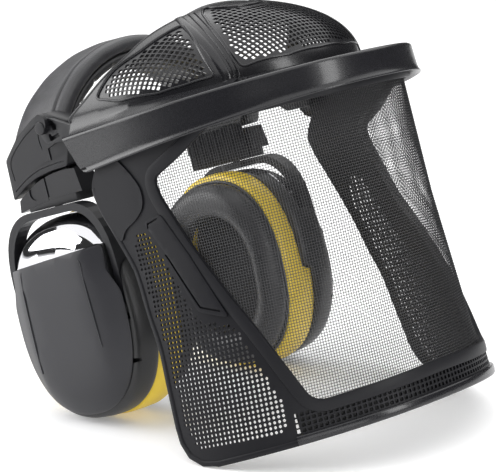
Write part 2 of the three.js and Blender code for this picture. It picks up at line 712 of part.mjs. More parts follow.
/** The window in side view; a positive margin makes it larger. */
function windowOutline(margin) {
  return roundedPolygon([
    [-200, 84 + margin], [-128, 84 + margin], [-108, 71.5 + margin], [-91 + margin, 64 + margin],
    [-92 + margin, 55], [-104 + margin, 24], [-118 + margin, -2], [-131 + margin, -27],
    [-147 + margin, -67.2 - margin], [-200, -62.8 - margin],
  ], 7);
}

function visorFrame() {
  const sheet = visorSheet(0, VISOR_THICKNESS, VISOR_BOTTOM - 3);
  const trimmed = common(sheet, sidePrism(visorOutline(), -150, 150, 6));
  const rounded = sidePrism(windowOutline(0), -150, 150, 5);
  return cut(trimmed, rounded, belowFloor());
}

/** The woven mesh's sheet, laid inside the frame all round the window. */
function visorMesh() {
  const sheet = visorSheet(VISOR_THICKNESS + GAP, VISOR_THICKNESS + GAP + 0.9, -74);
  return common(sheet, sidePrism(windowOutline(4), -150, 150, 5));
}

const outerSheet = (z0, z1) => visorSheet(-1.3, -GAP, z0, z1);

/** The raised clip plate at the visor's upper rear corner. */
function visorClipPlate() {
  const shape = new THREE.Shape();
  shape.moveTo(-76, 73.5);
  shape.quadraticCurveTo(-86, 54, -72, 44.5);
  shape.quadraticCurveTo(-62, 41, -58.5, 34);
  shape.lineTo(-54.5, 44);
  shape.quadraticCurveTo(-46, 60, -51, 71.5);
  return common(outerSheet(20, 76), sidePrism(shape, 40, 150, 8));
}

/** The long raised stiffening plate beside the window. */
function visorStiffener() {
  const shape = roundedPolygon([[-78, 43], [-90, 45.5], [-117, -15], [-101, -9]], 3);
  return common(outerSheet(-22, 52), sidePrism(shape, 40, 150, 5));
}

/** The thicker edging along the bottom of the visor's front. */
function visorEdging() {
  const height = 6.2;
  const shape = polygon([
    [-138, visorFoot(-138)], [-200, visorFoot(-200)], [-200, visorFoot(-200) + height],
    [-140.5, visorFoot(-140.5) + height],
  ]);
  return common(visorSheet(-1.3, -GAP, VISOR_BOTTOM - 2, 30), sidePrism(shape, -150, 150));
}

/** A hook under the brim that the visor's upper edge snaps on to. */
function visorHook(t) {
  const [x, y] = planOffset(t, VISOR, -40, -0.6);
  const [xn, yn] = planOffset(t, VISOR, -40, -1.6);
  const turn = Math.atan2(y - yn, x - xn);
  const hook = join(block(-0.4, 0.3, -3, 3, -6, 2.6), block(-0.4, 4.8, -3, 3, 1.2, 2.6));
  return hook.rotateZ(turn).translate(x, y, brimHigh(y) - 7.9);
}

// ---------------------------------------------------------------- assembly

const wearer = new THREE.Group();

function add(name, geometry, material) {
  const mesh = new THREE.Mesh(geometry, material);
  mesh.name = name;
  wearer.add(mesh);
}

function addPair(name, geometry, material) {
  for (const [label, side] of Object.entries(SIDES)) {
    add(`${name}_${label}`, forSide(geometry, side), material());
  }
}

add('headband_spring', headbandSpring(), steel());
add('headband_cover', headbandCover(), plastic(LEATHER, 0.6));
add('headband_pad', headbandPad(), plastic(LEATHER, 0.7));
addPair('bracket_housing', bracketHousing(), () => plastic(SATIN));
addPair('bracket_plate', bracketPlate(), () => plastic(SATIN));
bracketScrewPlaces().forEach((place, i) => addPair(`bracket_screw_${i + 1}`, bracketScrew(place), steel));
addPair('latch', latch(), () => plastic(SATIN));
addPair('brow_pivot_pin', browPin(), () => plastic(SATIN));

addPair('slider_block', sliderBlock(), () => plastic(SATIN));
addPair('slider_rail', sliderRail(), () => plastic(MATT));
addPair('yoke', yoke(), () => plastic(SATIN));
addPair('yoke_stem', yokeStem(), steel);

addPair('cup_shell', cupShell(), () => plastic(MATT, 0.75));
addPair('cup_cap', cupCap(), () => plastic(GLOSS, 0.08));
addPair('cup_cover', cupCover(), () => plastic(MATT, 0.6));
addPair('cushion_ring', cushionRing(), () => plastic(YELLOW, 0.45));
addPair('ear_cushion', earCushion(), () => plastic(LEATHER, 0.55));
addPair('foam_insert', foamInsert(), () => plastic(0x232325, 0.95));
addPair('cup_pin_front', pivotPin(-1), steel);
addPair('cup_pin_rear', pivotPin(1), steel);

add('dome_shell', domeShell(), plastic(SATIN));
add('grille_front', grilleSheet(frontPanelPrism(GAP + 0.1)), plastic(SATIN));
addPair('grille_side', grilleSheet(sidePanelPrism(GAP + 0.1)), () => plastic(SATIN));
add('brim_band', brimBand(), plastic(SATIN, 0.4));
addPair('brow_arm', browArm(), () => plastic(SATIN));
add('visor_frame', visorFrame(), plastic(MATT));
add('visor_mesh', visorMesh(), plastic(0x111113, 0.5));
addPair('visor_clip_plate', visorClipPlate(), () => plastic(MATT));
addPair('visor_stiffener', visorStiffener(), () => plastic(MATT));
add('visor_edging', visorEdging(), plastic(MATT));
addPair('visor_hook_side', visorHook(0.83), () => plastic(MATT));
addPair('visor_hook_front', visorHook(0.6), () => plastic(MATT));

wearer.rotation.x = -THREE.MathUtils.degToRad(LEAN);

const part = new THREE.Group();
part.add(wearer);
part.updateMatrixWorld(true);
const box = new THREE.Box3().setFromObject(part, true);
wearer.position.set(0, -(box.min.y + box.max.y) / 2, -box.min.z);
part.updateMatrixWorld(true);

export default part;
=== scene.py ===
"""Face shield on a padded headband with two ear cups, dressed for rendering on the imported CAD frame."""

import json
import math

import bmesh
import bpy
import numpy as np
from mathutils import Matrix, Vector
from mathutils.geometry import delaunay_2d_cdt


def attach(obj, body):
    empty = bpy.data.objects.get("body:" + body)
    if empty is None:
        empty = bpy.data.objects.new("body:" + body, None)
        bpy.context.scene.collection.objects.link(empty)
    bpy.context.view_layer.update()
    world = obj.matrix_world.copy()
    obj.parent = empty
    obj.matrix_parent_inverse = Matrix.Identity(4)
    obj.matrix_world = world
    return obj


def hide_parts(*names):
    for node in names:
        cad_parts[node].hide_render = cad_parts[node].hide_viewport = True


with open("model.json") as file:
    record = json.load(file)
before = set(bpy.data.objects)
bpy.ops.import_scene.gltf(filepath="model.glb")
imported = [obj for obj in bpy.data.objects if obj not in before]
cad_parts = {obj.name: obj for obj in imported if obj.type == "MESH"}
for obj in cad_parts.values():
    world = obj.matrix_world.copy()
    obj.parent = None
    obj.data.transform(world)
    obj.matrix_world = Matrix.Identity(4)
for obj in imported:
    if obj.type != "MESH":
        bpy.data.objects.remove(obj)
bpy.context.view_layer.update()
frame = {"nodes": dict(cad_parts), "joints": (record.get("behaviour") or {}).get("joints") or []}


# ---------------------------------------------------------------- the wearer's frame
# Shapes are worked out in millimetres in the wearer's frame: the origin midway between the ear-cup
# pivots, +X to the wearer's left, -Y forwards, +Z up. TO_ROW carries them into the leaning row frame.

JOINTS = {joint["name"]: joint for joint in frame["joints"]}
CUP_PIVOT = JOINTS["cup_tilt_left"]["pos_m"]
LEAN = math.asin(-JOINTS["height_slide_left"]["axis"][1])
PIVOT_X = CUP_PIVOT[0] * 1000
TO_ROW = (
    Matrix.Translation((0, CUP_PIVOT[1], CUP_PIVOT[2]))
    @ Matrix.Rotation(-LEAN, 4, "X")
    @ Matrix.Scale(0.001, 4)
)
SIDES = {"right": -1, "left": 1}
PI = math.pi


# ---------------------------------------------------------------- meshes


def to_row(points):
    """Wearer millimetres to row-frame metres."""
    return carried(points, TO_ROW)


def to_wearer(points):
    """Row-frame metres to wearer millimetres."""
    return carried(points, TO_ROW.inverted())


def carried(points, matrix):
    matrix = np.array(matrix)
    return np.asarray(points, float) @ matrix[:3, :3].T + matrix[:3, 3]


def mesh_points(mesh):
    """A mesh's points as rows of an array, in row-frame metres."""
    flat = np.empty(len(mesh.vertices) * 3)
    mesh.vertices.foreach_get("co", flat)
    return flat.reshape(-1, 3)


def make(name, points, faces, side=1):
    """A new object from wearer-frame points; side -1 mirrors it to the wearer's right."""
    points = np.asarray(points, float) * (side, 1, 1)
    if side < 0:
        faces = [tuple(reversed(face)) for face in faces]
    mesh = bpy.data.meshes.new(name)
    mesh.from_pydata(to_row(points).tolist(), [], [tuple(int(i) for i in face) for face in faces])
    mesh.update()
    piece = bpy.data.objects.new(name, mesh)
    bpy.context.scene.collection.objects.link(piece)
    return piece


def bake(piece):
    """Applies a piece's modifiers."""
    depsgraph = bpy.context.evaluated_depsgraph_get()
    mesh = bpy.data.meshes.new_from_object(piece.evaluated_get(depsgraph), depsgraph=depsgraph)
    piece.modifiers.clear()
    piece.data = mesh
    return piece


def modify(piece, kind, **values):
    modifier = piece.modifiers.new(kind.lower(), kind)
    for key, value in values.items():
        setattr(modifier, key, value)
    return modifier


def thicken(piece, millimetres):
    modify(piece, "SOLIDIFY", thickness=millimetres / 1000, offset=-1)
    return bake(piece)


def round_edges(piece, millimetres, angle=35, segments=2):
    modify(
        piece, "BEVEL", width=millimetres / 1000, segments=segments, limit_method="ANGLE",
        angle_limit=math.radians(angle), harden_normals=False,
    )
    return bake(piece)


def carve(piece, *cutters):
    """Cuts other objects out of a piece, and removes them."""
    for cutter in cutters:
        modify(piece, "BOOLEAN", operation="DIFFERENCE", object=cutter, solver="EXACT")
    bake(piece)
    for cutter in cutters:
        bpy.data.objects.remove(cutter)
    return piece


def finish(piece, body, material, replaced=(), smooth=35):
    """Shades a piece, gives it its material and hangs it on its body."""
    piece.data.shade_smooth()
    piece.data.set_sharp_from_angle(angle=math.radians(smooth))
    piece.data.materials.clear()
    piece.data.materials.append(material)
    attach(piece, body)
    if replaced:
        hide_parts(*replaced)
    return piece


def grid_faces(rows, columns, close_rows=False, close_columns=False):
    """Quads between rows x columns points, stored row by row."""
    faces = []
    for i in range(rows if close_rows else rows - 1):
        for j in range(columns if close_columns else columns - 1):
            a, b = i * columns + j, i * columns + (j + 1) % columns
            c, d = ((i + 1) % rows) * columns + (j + 1) % columns, ((i + 1) % rows) * columns + j
            faces.append((a, b, c, d))
    return faces


def end_caps(rows, columns):
    """The two faces that close the ends of a closed section carried over rows."""
    return [tuple(range(columns)), tuple(reversed(range((rows - 1) * columns, rows * columns)))]


def face_out(piece, weld=False):
    """Turns all faces to point out of a closed piece; weld first joins the points that meet."""
    work = bmesh.new()
    work.from_mesh(piece.data)
    if weld:
        bmesh.ops.remove_doubles(work, verts=work.verts, dist=1e-6)
        bmesh.ops.dissolve_degenerate(work, edges=work.edges, dist=1e-6)
    bmesh.ops.recalc_face_normals(work, faces=work.faces)
    work.to_mesh(piece.data)
    work.free()
    return piece


def sweep(name, path, outward, section, closed=False, side=1):
    """
    A section of (sideways, outwards) millimetres carried along a path. outward gives one direction per
    point; sideways is square to it and to the path. Open ends are capped.
    """
    path, outward = np.asarray(path, float), np.asarray(outward, float)
    if closed:
        along = np.roll(path, -1, 0) - np.roll(path, 1, 0)
    else:
        along = np.gradient(path, axis=0)
    sideways = np.cross(along, outward)
    sideways /= np.linalg.norm(sideways, axis=1)[:, None]
    section = np.asarray(section, float)
    points = (
        path[:, None, :]
        + section[None, :, :1] * sideways[:, None, :]
        + section[None, :, 1:] * outward[:, None, :]
    )
    rows, columns = len(path), len(section)
    faces = grid_faces(rows, columns, close_rows=closed, close_columns=True)
    if not closed:
        faces += end_caps(rows, columns)
    return face_out(make(name, points.reshape(-1, 3), faces, side))


def prism(name, outline, low, high, axis, side=1):
    """An outline carried along an axis. Axis 0 takes (y, z), 1 takes (x, z) and 2 takes (x, y)."""
    outline = np.asarray(outline, float)
    ends = []
    for at in (low, high):
        ends.append(np.insert(outline, axis, at, axis=1))
    count = len(outline)
    faces = [(i, (i + 1) % count, count + (i + 1) % count, count + i) for i in range(count)]
    faces += [tuple(reversed(range(count))), tuple(range(count, 2 * count))]
    return face_out(make(name, np.vstack(ends), faces, side))


def oval(width, height, count=12, power=2.0, lift=0.0):
    """A closed section: an ellipse, or with a higher power a rounded box."""
    angles = 2 * PI * np.arange(count) / count
    c, s = np.cos(angles), np.sin(angles)
    across = np.sign(c) * np.abs(c) ** (2 / power) * width / 2
    up = np.sign(s) * np.abs(s) ** (2 / power) * height / 2
    return np.stack([across, up + lift], 1)


def rounded(points, radius, steps=5):
    """A closed outline with its corners turned into short curves."""
    points = [np.array(p, float) for p in points]
    out = []
    for i, corner in enumerate(points):
        before, after = points[i - 1], points[(i + 1) % len(points)]
        lengths = [np.linalg.norm(end - corner) for end in (before, after)]
        reach = min(radius, *[length / 2.2 for length in lengths])
        start, end = [
            corner + (end - corner) / length * reach for end, length in zip((before, after), lengths)
        ]
        out += corner_curve(start, corner, end, np.linspace(0, 1, steps))
    return np.array(out)


def corner_curve(start, corner, end, steps):
    """Points on the curve that leaves start towards a corner and reaches end coming from it."""
    return [(1 - t) ** 2 * start + 2 * t * (1 - t) * corner + t * t * end for t in steps]


def smooth_line(points, count):
    """An open Catmull-Rom curve through points."""
    p = np.asarray(points, float)
    p = np.vstack([2 * p[0] - p[1], p, 2 * p[-1] - p[-2]])
    spans = len(p) - 3
    out = []
    for u in np.linspace(0, spans, count):
        i = min(int(u), spans - 1)
        t = u - i
        a, b, c, d = p[i : i + 4]
        bend = (2 * a - 5 * b + 4 * c - d) * t**2 + (3 * b - a - 3 * c + d) * t**3
        out.append(0.5 * (2 * b + (c - a) * t + bend))
    return np.array(out)


def resample(outline, step):
    """A closed outline with points added so that none are further apart than step."""
    out = []
    for a, b in zip(outline, np.roll(outline, -1, 0)):
        pieces = max(1, math.ceil(np.linalg.norm(b - a) / step))
        out += [a + (b - a) * k / pieces for k in range(pieces)]
    return np.array(out)


def inside(points, outline):
    """Which points lie inside a closed outline."""
    x, y = points[:, 0][:, None], points[:, 1][:, None]
    ax, ay = outline[:, 0], outline[:, 1]
    bx, by = np.roll(ax, -1), np.roll(ay, -1)
    crosses = (ay > y) != (by > y)
    with np.errstate(divide="ignore", invalid="ignore"):
        at = ax + (y - ay) * (bx - ax) / (by - ay)
    return (crosses & (x < at)).sum(1) % 2 == 1


def clearance(points, outline):
    """Each point's distance to an outline's edge."""
    a = outline[None]
    d = np.roll(outline, -1, 0)[None] - a
    p = points[:, None] - a
    t = np.clip((p * d).sum(2) / np.maximum((d * d).sum(2), 1e-9), 0, 1)
    return np.linalg.norm(p - t[..., None] * d, axis=2).min(1)


SMALL_HOLE = 16  # a hole with fewer points than this has no grid points inside it


def inner_grid(outline, holes, spacing, extra):
    """Grid points inside an outline and outside its holes; extra points push aside those near them."""
    low, high = outline.min(0), outline.max(0)
    xs = np.arange(low[0], high[0], spacing)
    ys = np.arange(low[1], high[1], spacing)
    grid = np.array(np.meshgrid(xs, ys)).reshape(2, -1).T
    grid = grid[inside(grid, outline)]
    grid = grid[clearance(grid, outline) > spacing * 0.35]
    for hole in holes:
        if len(hole) < SMALL_HOLE:
            reach = np.abs(hole - hole.mean(0)).max() + spacing * 0.35
            grid = grid[np.abs(grid - hole.mean(0)).max(1) >= reach]
        else:
            grid = grid[~inside(grid, hole)]
    if extra is None:
        return grid
    extra = extra[inside(extra, outline)]
    extra = extra[clearance(extra, outline) > 0.5]
    for hole in holes:
        if len(hole) >= SMALL_HOLE:
            extra = extra[clearance(extra, hole) > 0.6]
        extra = extra[~inside(extra, hole)]
    gaps = np.linalg.norm(grid[:, None] - extra[None], axis=2).min(1)
    return np.vstack([grid[gaps > spacing * 0.6], extra])


def flat_mesh(outline, holes, spacing, extra=None):
    """Triangles that fill an outline around its holes, with inner points on a grid for bending."""
    points, edges, owners = [], [], []
    for number, loop in enumerate([outline, *holes]):
        first = len(points)
        points += [tuple(p) for p in loop]
        owners += [number] * len(loop)
        edges += [(first + i, first + (i + 1) % len(loop)) for i in range(len(loop))]
    if spacing:
        points += [tuple(p) for p in inner_grid(outline, holes, spacing, extra)]
    owners += [-1] * (len(points) - len(owners))
    vectors = [Vector(p) for p in points]
    verts, _, faces, origins, *_ = delaunay_2d_cdt(vectors, edges, [], 0, 1e-6, True)
    verts, faces = np.array([tuple(v) for v in verts]), np.array([tuple(f) for f in faces])

    # a triangle whose three corners lie on one small hole fills that hole
    owner = np.array([owners[origin[0]] if origin else -1 for origin in origins])[faces]
    small = np.array([False, *[len(hole) < SMALL_HOLE for hole in holes], False])
    fills_small = (owner[:, 0] == owner[:, 1]) & (owner[:, 1] == owner[:, 2]) & small[owner[:, 0]]
    middles = verts[faces].mean(1)
    kept = inside(middles, outline) & ~fills_small
    for hole in holes:
        if len(hole) >= SMALL_HOLE:
            kept &= ~inside(middles, hole)
    return verts, [tuple(face) for face in faces[kept]]


def clipped_square(half, corner):
    """The outline of a hole: a square with its corners cut off."""
    edges = [np.array([(half, -corner), (half, corner)])]
    quarter_turn = np.array([(0, 1), (-1, 0)])
    for _ in range(3):
        edges.append(edges[-1] @ quarter_turn)
    return np.vstack(edges)


def other_side(outline):
    """An outline's mirror image, running the same way round."""
    return outline[::-1] * (-1, 1)


def share_out(across, along, power):
    """How far out a point lies on a superellipse of half sizes 1 (1 is on it)."""
    return (np.abs(across) ** power + np.abs(along) ** power) ** (1 / power)


def mirrored(half):
    """A closed outline from its right-hand half, whose ends lie on the middle line."""
    other = half[::-1] * (-1, 1)
    keep = np.abs(other[:, 0]) > 1e-6
    return np.vstack([half, other[keep]])


# ---------------------------------------------------------------- materials


def shader(name):
    material = bpy.data.materials.new(name)
    material.use_nodes = True
    tree = material.node_tree
    return material, tree, tree.nodes["Principled BSDF"]


def node(tree, kind, **inputs):
    made = tree.nodes.new(kind)
    for key, value in inputs.items():
        made.inputs[key.replace("_", " ")].default_value = value
    return made


def texture(tree, kind, size_mm, **inputs):
    """A texture in object space with features about size_mm across."""
    coordinates = node(tree, "ShaderNodeTexCoord")
    made = node(tree, kind, Scale=1000 / size_mm, **inputs)
    tree.links.new(coordinates.outputs["Object"], made.inputs["Vector"])
    return made


def noise(tree, size_mm, detail=2.0, roughness=0.5):
    made = texture(tree, "ShaderNodeTexNoise", size_mm, Detail=detail, Roughness=roughness)
    return made.outputs["Fac"]


def spread(tree, value, low, high):
    """Maps the middle of a noise's range to low..high."""
    ranged = node(tree, "ShaderNodeMapRange", From_Min=0.3, From_Max=0.7, To_Min=low, To_Max=high)
    tree.links.new(value, ranged.inputs["Value"])
    return ranged.outputs["Result"]


def toned(tone, factor):
    return tuple(channel * factor for channel in tone)


def feed(surface, name, value):
    surface.id_data.links.new(value, surface.inputs[name])


def two_tone(tree, value, first, second):
    mix = node(tree, "ShaderNodeMix")
    mix.data_type = "RGBA"
    mix.inputs[6].default_value = (*first, 1)
    mix.inputs[7].default_value = (*second, 1)
    tree.links.new(value, mix.inputs[0])
    return mix.outputs[2]


def bump(tree, height, distance_mm, strength=1.0):
    made = node(tree, "ShaderNodeBump", Strength=strength, Distance=distance_mm / 1000)
    tree.links.new(height, made.inputs["Height"])
    return made.outputs["Normal"]


def moulded(name, tone, roughness, grain_mm=0.5, depth_mm=0.03, coat=0.0, variation=0.06, shine=0.5):
    """Injection-moulded plastic: fine spark-eroded grain, slightly uneven colour and gloss."""
    material, tree, surface = shader(name)
    patches = noise(tree, 22.0, 3.0)
    grain = noise(tree, grain_mm, 1.0)
    darker, lighter = toned(tone, 1 - variation), toned(tone, 1 + variation)
    feed(surface, "Base Color", two_tone(tree, spread(tree, patches, 0, 1), darker, lighter))
    feed(surface, "Roughness", spread(tree, grain, roughness * 0.9, min(roughness * 1.1, 1)))
    feed(surface, "Normal", bump(tree, grain, depth_mm))
    surface.inputs["Specular IOR Level"].default_value = shine
    surface.inputs["Coat Weight"].default_value = coat
    surface.inputs["Coat Roughness"].default_value = 0.12
    return material


def leather(name, tone, roughness=0.45, pebble_mm=1.1):
    """Coated fabric with a pebbled leather grain and creases between the pebbles."""
    material, tree, surface = shader(name)
    cells = texture(tree, "ShaderNodeTexVoronoi", pebble_mm)
    cells.feature = "SMOOTH_F1"
    soft = noise(tree, 6.0, 3.0)
    feed(surface, "Base Color", two_tone(tree, spread(tree, soft, 0, 1), tone, toned(tone, 1.35)))
    feed(surface, "Roughness", spread(tree, soft, roughness * 0.85, roughness * 1.15))
    pebbles = node(tree, "ShaderNodeMath")
    pebbles.operation = "SUBTRACT"
    pebbles.inputs[0].default_value = 1.0
    tree.links.new(cells.outputs["Distance"], pebbles.inputs[1])
    feed(surface, "Normal", bump(tree, pebbles.outputs[0], 0.16, 0.7))
    surface.inputs["Sheen Weight"].default_value = 0.08
    return material


def metal(name, tone, roughness):
    """Plated steel, slightly uneven in colour and gloss."""
    material, tree, surface = shader(name)
    marks = noise(tree, 0.4, 2.0)
    feed(surface, "Base Color", two_tone(tree, marks, toned(tone, 0.8), tone))
    feed(surface, "Roughness", spread(tree, marks, roughness * 0.8, roughness * 1.3))
    surface.inputs["Metallic"].default_value = 1.0
    return material


def mirror_cap(name, tone):
    """Dark chrome plating over a smooth moulding, with the faintest waviness."""
    material, tree, surface = shader(name)
    waves = noise(tree, 14.0, 1.0)
    feed(surface, "Base Color", two_tone(tree, waves, toned(tone, 0.92), tone))
    feed(surface, "Roughness", spread(tree, noise(tree, 3.0, 2.0), 0.035, 0.06))
    feed(surface, "Normal", bump(tree, waves, 0.02))
    surface.inputs["Metallic"].default_value = 1.0
    return material


def open_foam(name, tone):
    """Open-celled foam; its colour is painted darker where the bump sinks, painted shade in the pores."""
    material, tree, surface = shader(name)
    pore_relief_and_shade = noise(tree, 1.6, 3.0, 0.7)
    # painted shade: the same pore noise that lowers the bump darkens the colour to half there
    feed(surface, "Base Color", two_tone(tree, spread(tree, pore_relief_and_shade, 0, 1), toned(tone, 0.5), tone))
    feed(surface, "Normal", bump(tree, pore_relief_and_shade, 0.8))
    surface.inputs["Roughness"].default_value = 0.95
    return material


SATIN = moulded("satin_shell", (0.0105, 0.0105, 0.0125), 0.27, 0.5, 0.008, coat=0.2, shine=0.35)
BRACKET_PLASTIC = moulded("bracket_plastic", (0.011, 0.011, 0.013), 0.36, 0.45, 0.012, shine=0.3)
MATT = moulded("matt_frame", (0.0085, 0.0085, 0.0105), 0.46, 0.6, 0.012, shine=0.22)
GRAINED = moulded("grained_cup", (0.01, 0.01, 0.011), 0.36, 0.55, 0.07)
COVER = moulded("cup_cover_plastic", (0.018, 0.018, 0.0215), 0.4, 0.4, 0.01, shine=0.4)
GLOSS = mirror_cap("gloss_cap", (0.62, 0.62, 0.64))
DARK = moulded("dark_recess", (0.012, 0.012, 0.013), 0.55, 0.5, 0.01)
YELLOW = moulded("yellow_collar", (0.86, 0.62, 0.045), 0.42, 0.6, 0.02, coat=0.1, variation=0.05)
THREAD = moulded("mesh_thread", (0.03, 0.03, 0.032), 0.35, 1.2, 0.01)
BAND_LEATHER = leather("headband_leather", (0.03, 0.03, 0.033), 0.38, 0.9)
PAD_LEATHER = leather("pad_leather", (0.014, 0.014, 0.016), 0.5, 1.0)
CUSHION_LEATHER = leather("cushion_leather", (0.018, 0.018, 0.02), 0.38, 1.2)
FOAM = open_foam("ear_foam", (0.022, 0.022, 0.024))
STEEL = metal("steel", (0.6, 0.6, 0.62), 0.35)


# ---------------------------------------------------------------- plan curves of the brow guard

FORMS = {
    "visor": dict(half=92.6, rear=-62.8, front=-173.5, power=2.3),
    "brim": dict(half=96.6, rear=-60.0, front=-181.0, power=2.3),
}


class Plan:
    """A U-shaped plan seen from above, measured along its length from the middle of the front."""

    STEP = 0.5  # half the length over which its direction is taken

    def __init__(self, form, rear_end):
        turn = np.linspace(0, PI / 2, 1200)
        power = 2 / form["power"]
        x = form["half"] * np.sin(turn) ** power
        y = form["rear"] - (form["rear"] - form["front"]) * np.cos(turn) ** power
        x = np.append(x, form["half"])
        y = np.append(y, rear_end)
        self.half = form["half"]
        self.x, self.y = x, y
        self.s = np.concatenate([[0], np.cumsum(np.hypot(np.diff(x), np.diff(y)))])
        self.length = self.s[-1]

    def spot(self, s):
        """The point at a distance; before the middle of the front it is the mirrored one."""
        reach = np.abs(s)
        x = np.interp(reach, self.s, self.x)
        return np.where(s < 0, -x, x), np.interp(reach, self.s, self.y)

    def at(self, s):
        """Points and outward directions at distances s; negative is the wearer's right."""
        s = np.asarray(s, float)
        reach, sign = np.abs(s), np.where(s < 0, -1.0, 1.0)
        x, y = self.spot(reach)
        xa, ya = self.spot(reach - self.STEP)
        xb, yb = self.spot(reach + self.STEP)
        dx, dy = xb - xa, yb - ya
        length = np.hypot(dx, dy)
        return sign * x, y, sign * dy / length, -dx / length

    def along(self, y):
        """The distance from the front at which the plan reaches y."""
        return np.interp(np.asarray(y, float), self.y, self.s)


VISOR_PLAN = Plan(FORMS["visor"], -40.0)
BRIM_PLAN = Plan(FORMS["brim"], -30.0)

BRIM_EDGES = dict(low=75.5, low_slope=0.085, high=97.6, high_slope=0.034, at=-47.0)


def brim_low(y):
    return BRIM_EDGES["low"] + BRIM_EDGES["low_slope"] * (BRIM_EDGES["at"] - y)


def brim_high(y):
    return BRIM_EDGES["high"] + BRIM_EDGES["high_slope"] * (BRIM_EDGES["at"] - y)


# ---------------------------------------------------------------- brim

BRIM_REAR = [(75.6, -52.0), (76.4, -48.6), (78.2, -45.8), (80.5, -44.2), (98.0, -36.0)]  # height, y


def brim_section():
    """The brim's closed section: (outwards, share of the height, fixed rise)."""
    outer = [
        (0.3, 0, 0.2), (0.9, 0, 0), (1.2, 0, 0.4), (1.1, 0, 1.0), (0.6, 0, 1.6), (0.3, 0, 2.3),
        (0.15, 0, 3.2), (0, 0.25, 0), (-0.2, 0.5, 0), (-0.4, 0.75, 0), (-0.5, 0.88, 0), (-0.55, 0.93, 0),
        (-0.8, 0.97, 0), (-1.3, 0.995, 0), (-2.0, 1, 0.35), (-2.8, 1, 0.35), (-3.4, 1, -0.1),
        (-3.9, 1, -1.2), (-4.5, 1, -1.8), (-6, 1, -2.0),
    ]
    inner = [(-6.2, 1, -3.2), (-4.0, 1, -4.4), (-2.9, 0.75, 0), (-2.3, 0.4, 0), (-1.7, 0.12, 1)]
    return outer + inner


def build_brim():
    steps = np.linspace(-1, 1, 181)
    points = []
    rear_heights, rear_y = np.array(BRIM_REAR).T
    straight = BRIM_PLAN.along(FORMS["brim"]["rear"])
    for out, share, rise in brim_section():
        height = BRIM_EDGES["high"] * share + BRIM_EDGES["low"] * (1 - share) + rise
        end = np.interp(height, rear_heights, rear_y)
        reach = straight + (end - FORMS["brim"]["rear"])
        x, y, nx, ny = BRIM_PLAN.at(steps * reach)
        z = brim_low(y) * (1 - share) + brim_high(y) * share + rise
        points.append(np.stack([x + nx * out, y + ny * out, z], 1))
    points = np.stack(points, 1)
    rows, columns = points.shape[:2]
    faces = grid_faces(rows, columns, close_columns=True) + end_caps(rows, columns)
    brim = face_out(make("brim", points.reshape(-1, 3), faces))
    finish(brim, "brow_guard", SATIN, ["brim_band"], smooth=60)


# ---------------------------------------------------------------- dome
# The dome is laid out flat: a point's direction from the middle of the rear line, and its share of the
# way from the crown (0) to the foot (1) and on down the shelf to the brim's channel (1 + SHELF).

DOME = dict(half=86.0, reach=87.5, rear=-60.0, power=2.08, foot=104.0, rise=48.0, taper=1.06)
SHELF = 0.1
CHANNEL = dict(half=91.6, reach=116.2, power=2.3)
DOME_WALL = 2.0


def dome_points(flat, lift=0.0):
    """Carries flat dome coordinates on to the dome, raised by lift."""
    a, b = flat[:, 0], flat[:, 1]
    power = DOME["power"]
    ahead = np.minimum(b - DOME["rear"], 0)
    behind = b - DOME["rear"] - ahead
    share = np.maximum(share_out(a / DOME["half"], ahead / DOME["reach"], power), 1e-6)
    foot_x, foot_y = a / share, ahead / share
    turn = (1 - np.minimum(share, 1)) * PI / 2
    narrow = np.cos(turn) ** DOME["taper"] * (1 + lift / DOME["half"])
    x, y = foot_x * narrow, DOME["rear"] + foot_y * narrow + behind
    z = DOME["foot"] + (DOME["rise"] + lift) * np.sin(turn)
    down = np.clip((share - 1) / SHELF, 0, 1)
    ux = np.abs(foot_x / DOME["half"]) ** (power / CHANNEL["power"])
    uy = np.abs(foot_y / DOME["reach"]) ** (power / CHANNEL["power"])
    channel_x = np.sign(foot_x) * CHANNEL["half"] * ux
    channel_y = DOME["rear"] - CHANNEL["reach"] * uy + behind
    channel_z = brim_high(channel_y) - 1.3
    x += (channel_x - x) * down
    y += (channel_y - y) * down
    shelf_z = channel_z + (DOME["foot"] - channel_z) * (1 - down) ** 1.3 + lift * 0.7
    z = np.where(down > 0, shelf_z, z)
    return np.stack([x, y, z], 1)


def dome_flat(x, y, z=None, down=0.0):
    """Flat dome coordinates of a point; without a height, the dome's own there is taken."""
    ahead = min(y - DOME["rear"], 0)
    plan_share = share_out(x / DOME["half"], ahead / DOME["reach"], DOME["power"])
    if z is None:
        turn = math.acos(min(plan_share, 1) ** (1 / DOME["taper"]))
    else:
        turn = math.asin(min(max((z - DOME["foot"]) / DOME["rise"], 0), 1))
    share = 1 - turn / (PI / 2) + down * SHELF
    scale = share / max(plan_share, 1e-6)
    return np.array([x * scale, DOME["rear"] + ahead * scale + (y - DOME["rear"] - ahead)])


def rim_flat(y, z):
    """Flat coordinates of the rear rim's point that has this place in side view."""
    turn = math.asin(min(max((z - DOME["foot"]) / DOME["rise"], 0), 0.999))
    narrow = math.cos(turn) ** DOME["taper"]
    share = 1 - turn / (PI / 2)
    behind = max(y - DOME["rear"], 0)
    ahead = min(y - DOME["rear"], 0) / narrow
    across = max(1 - abs(ahead / DOME["reach"]) ** DOME["power"], 0) ** (1 / DOME["power"])
    return np.array([DOME["half"] * across * share, DOME["rear"] + ahead * share + behind])


def panel_outline(points, middle=False):
    """A panel's flat outline from (x, y, height) corners, mirrored when it crosses the middle."""
    flat = np.array([dome_flat(*p) for p in points])
    if middle:
        flat = mirrored(flat)
    return rounded(flat, 3.0)


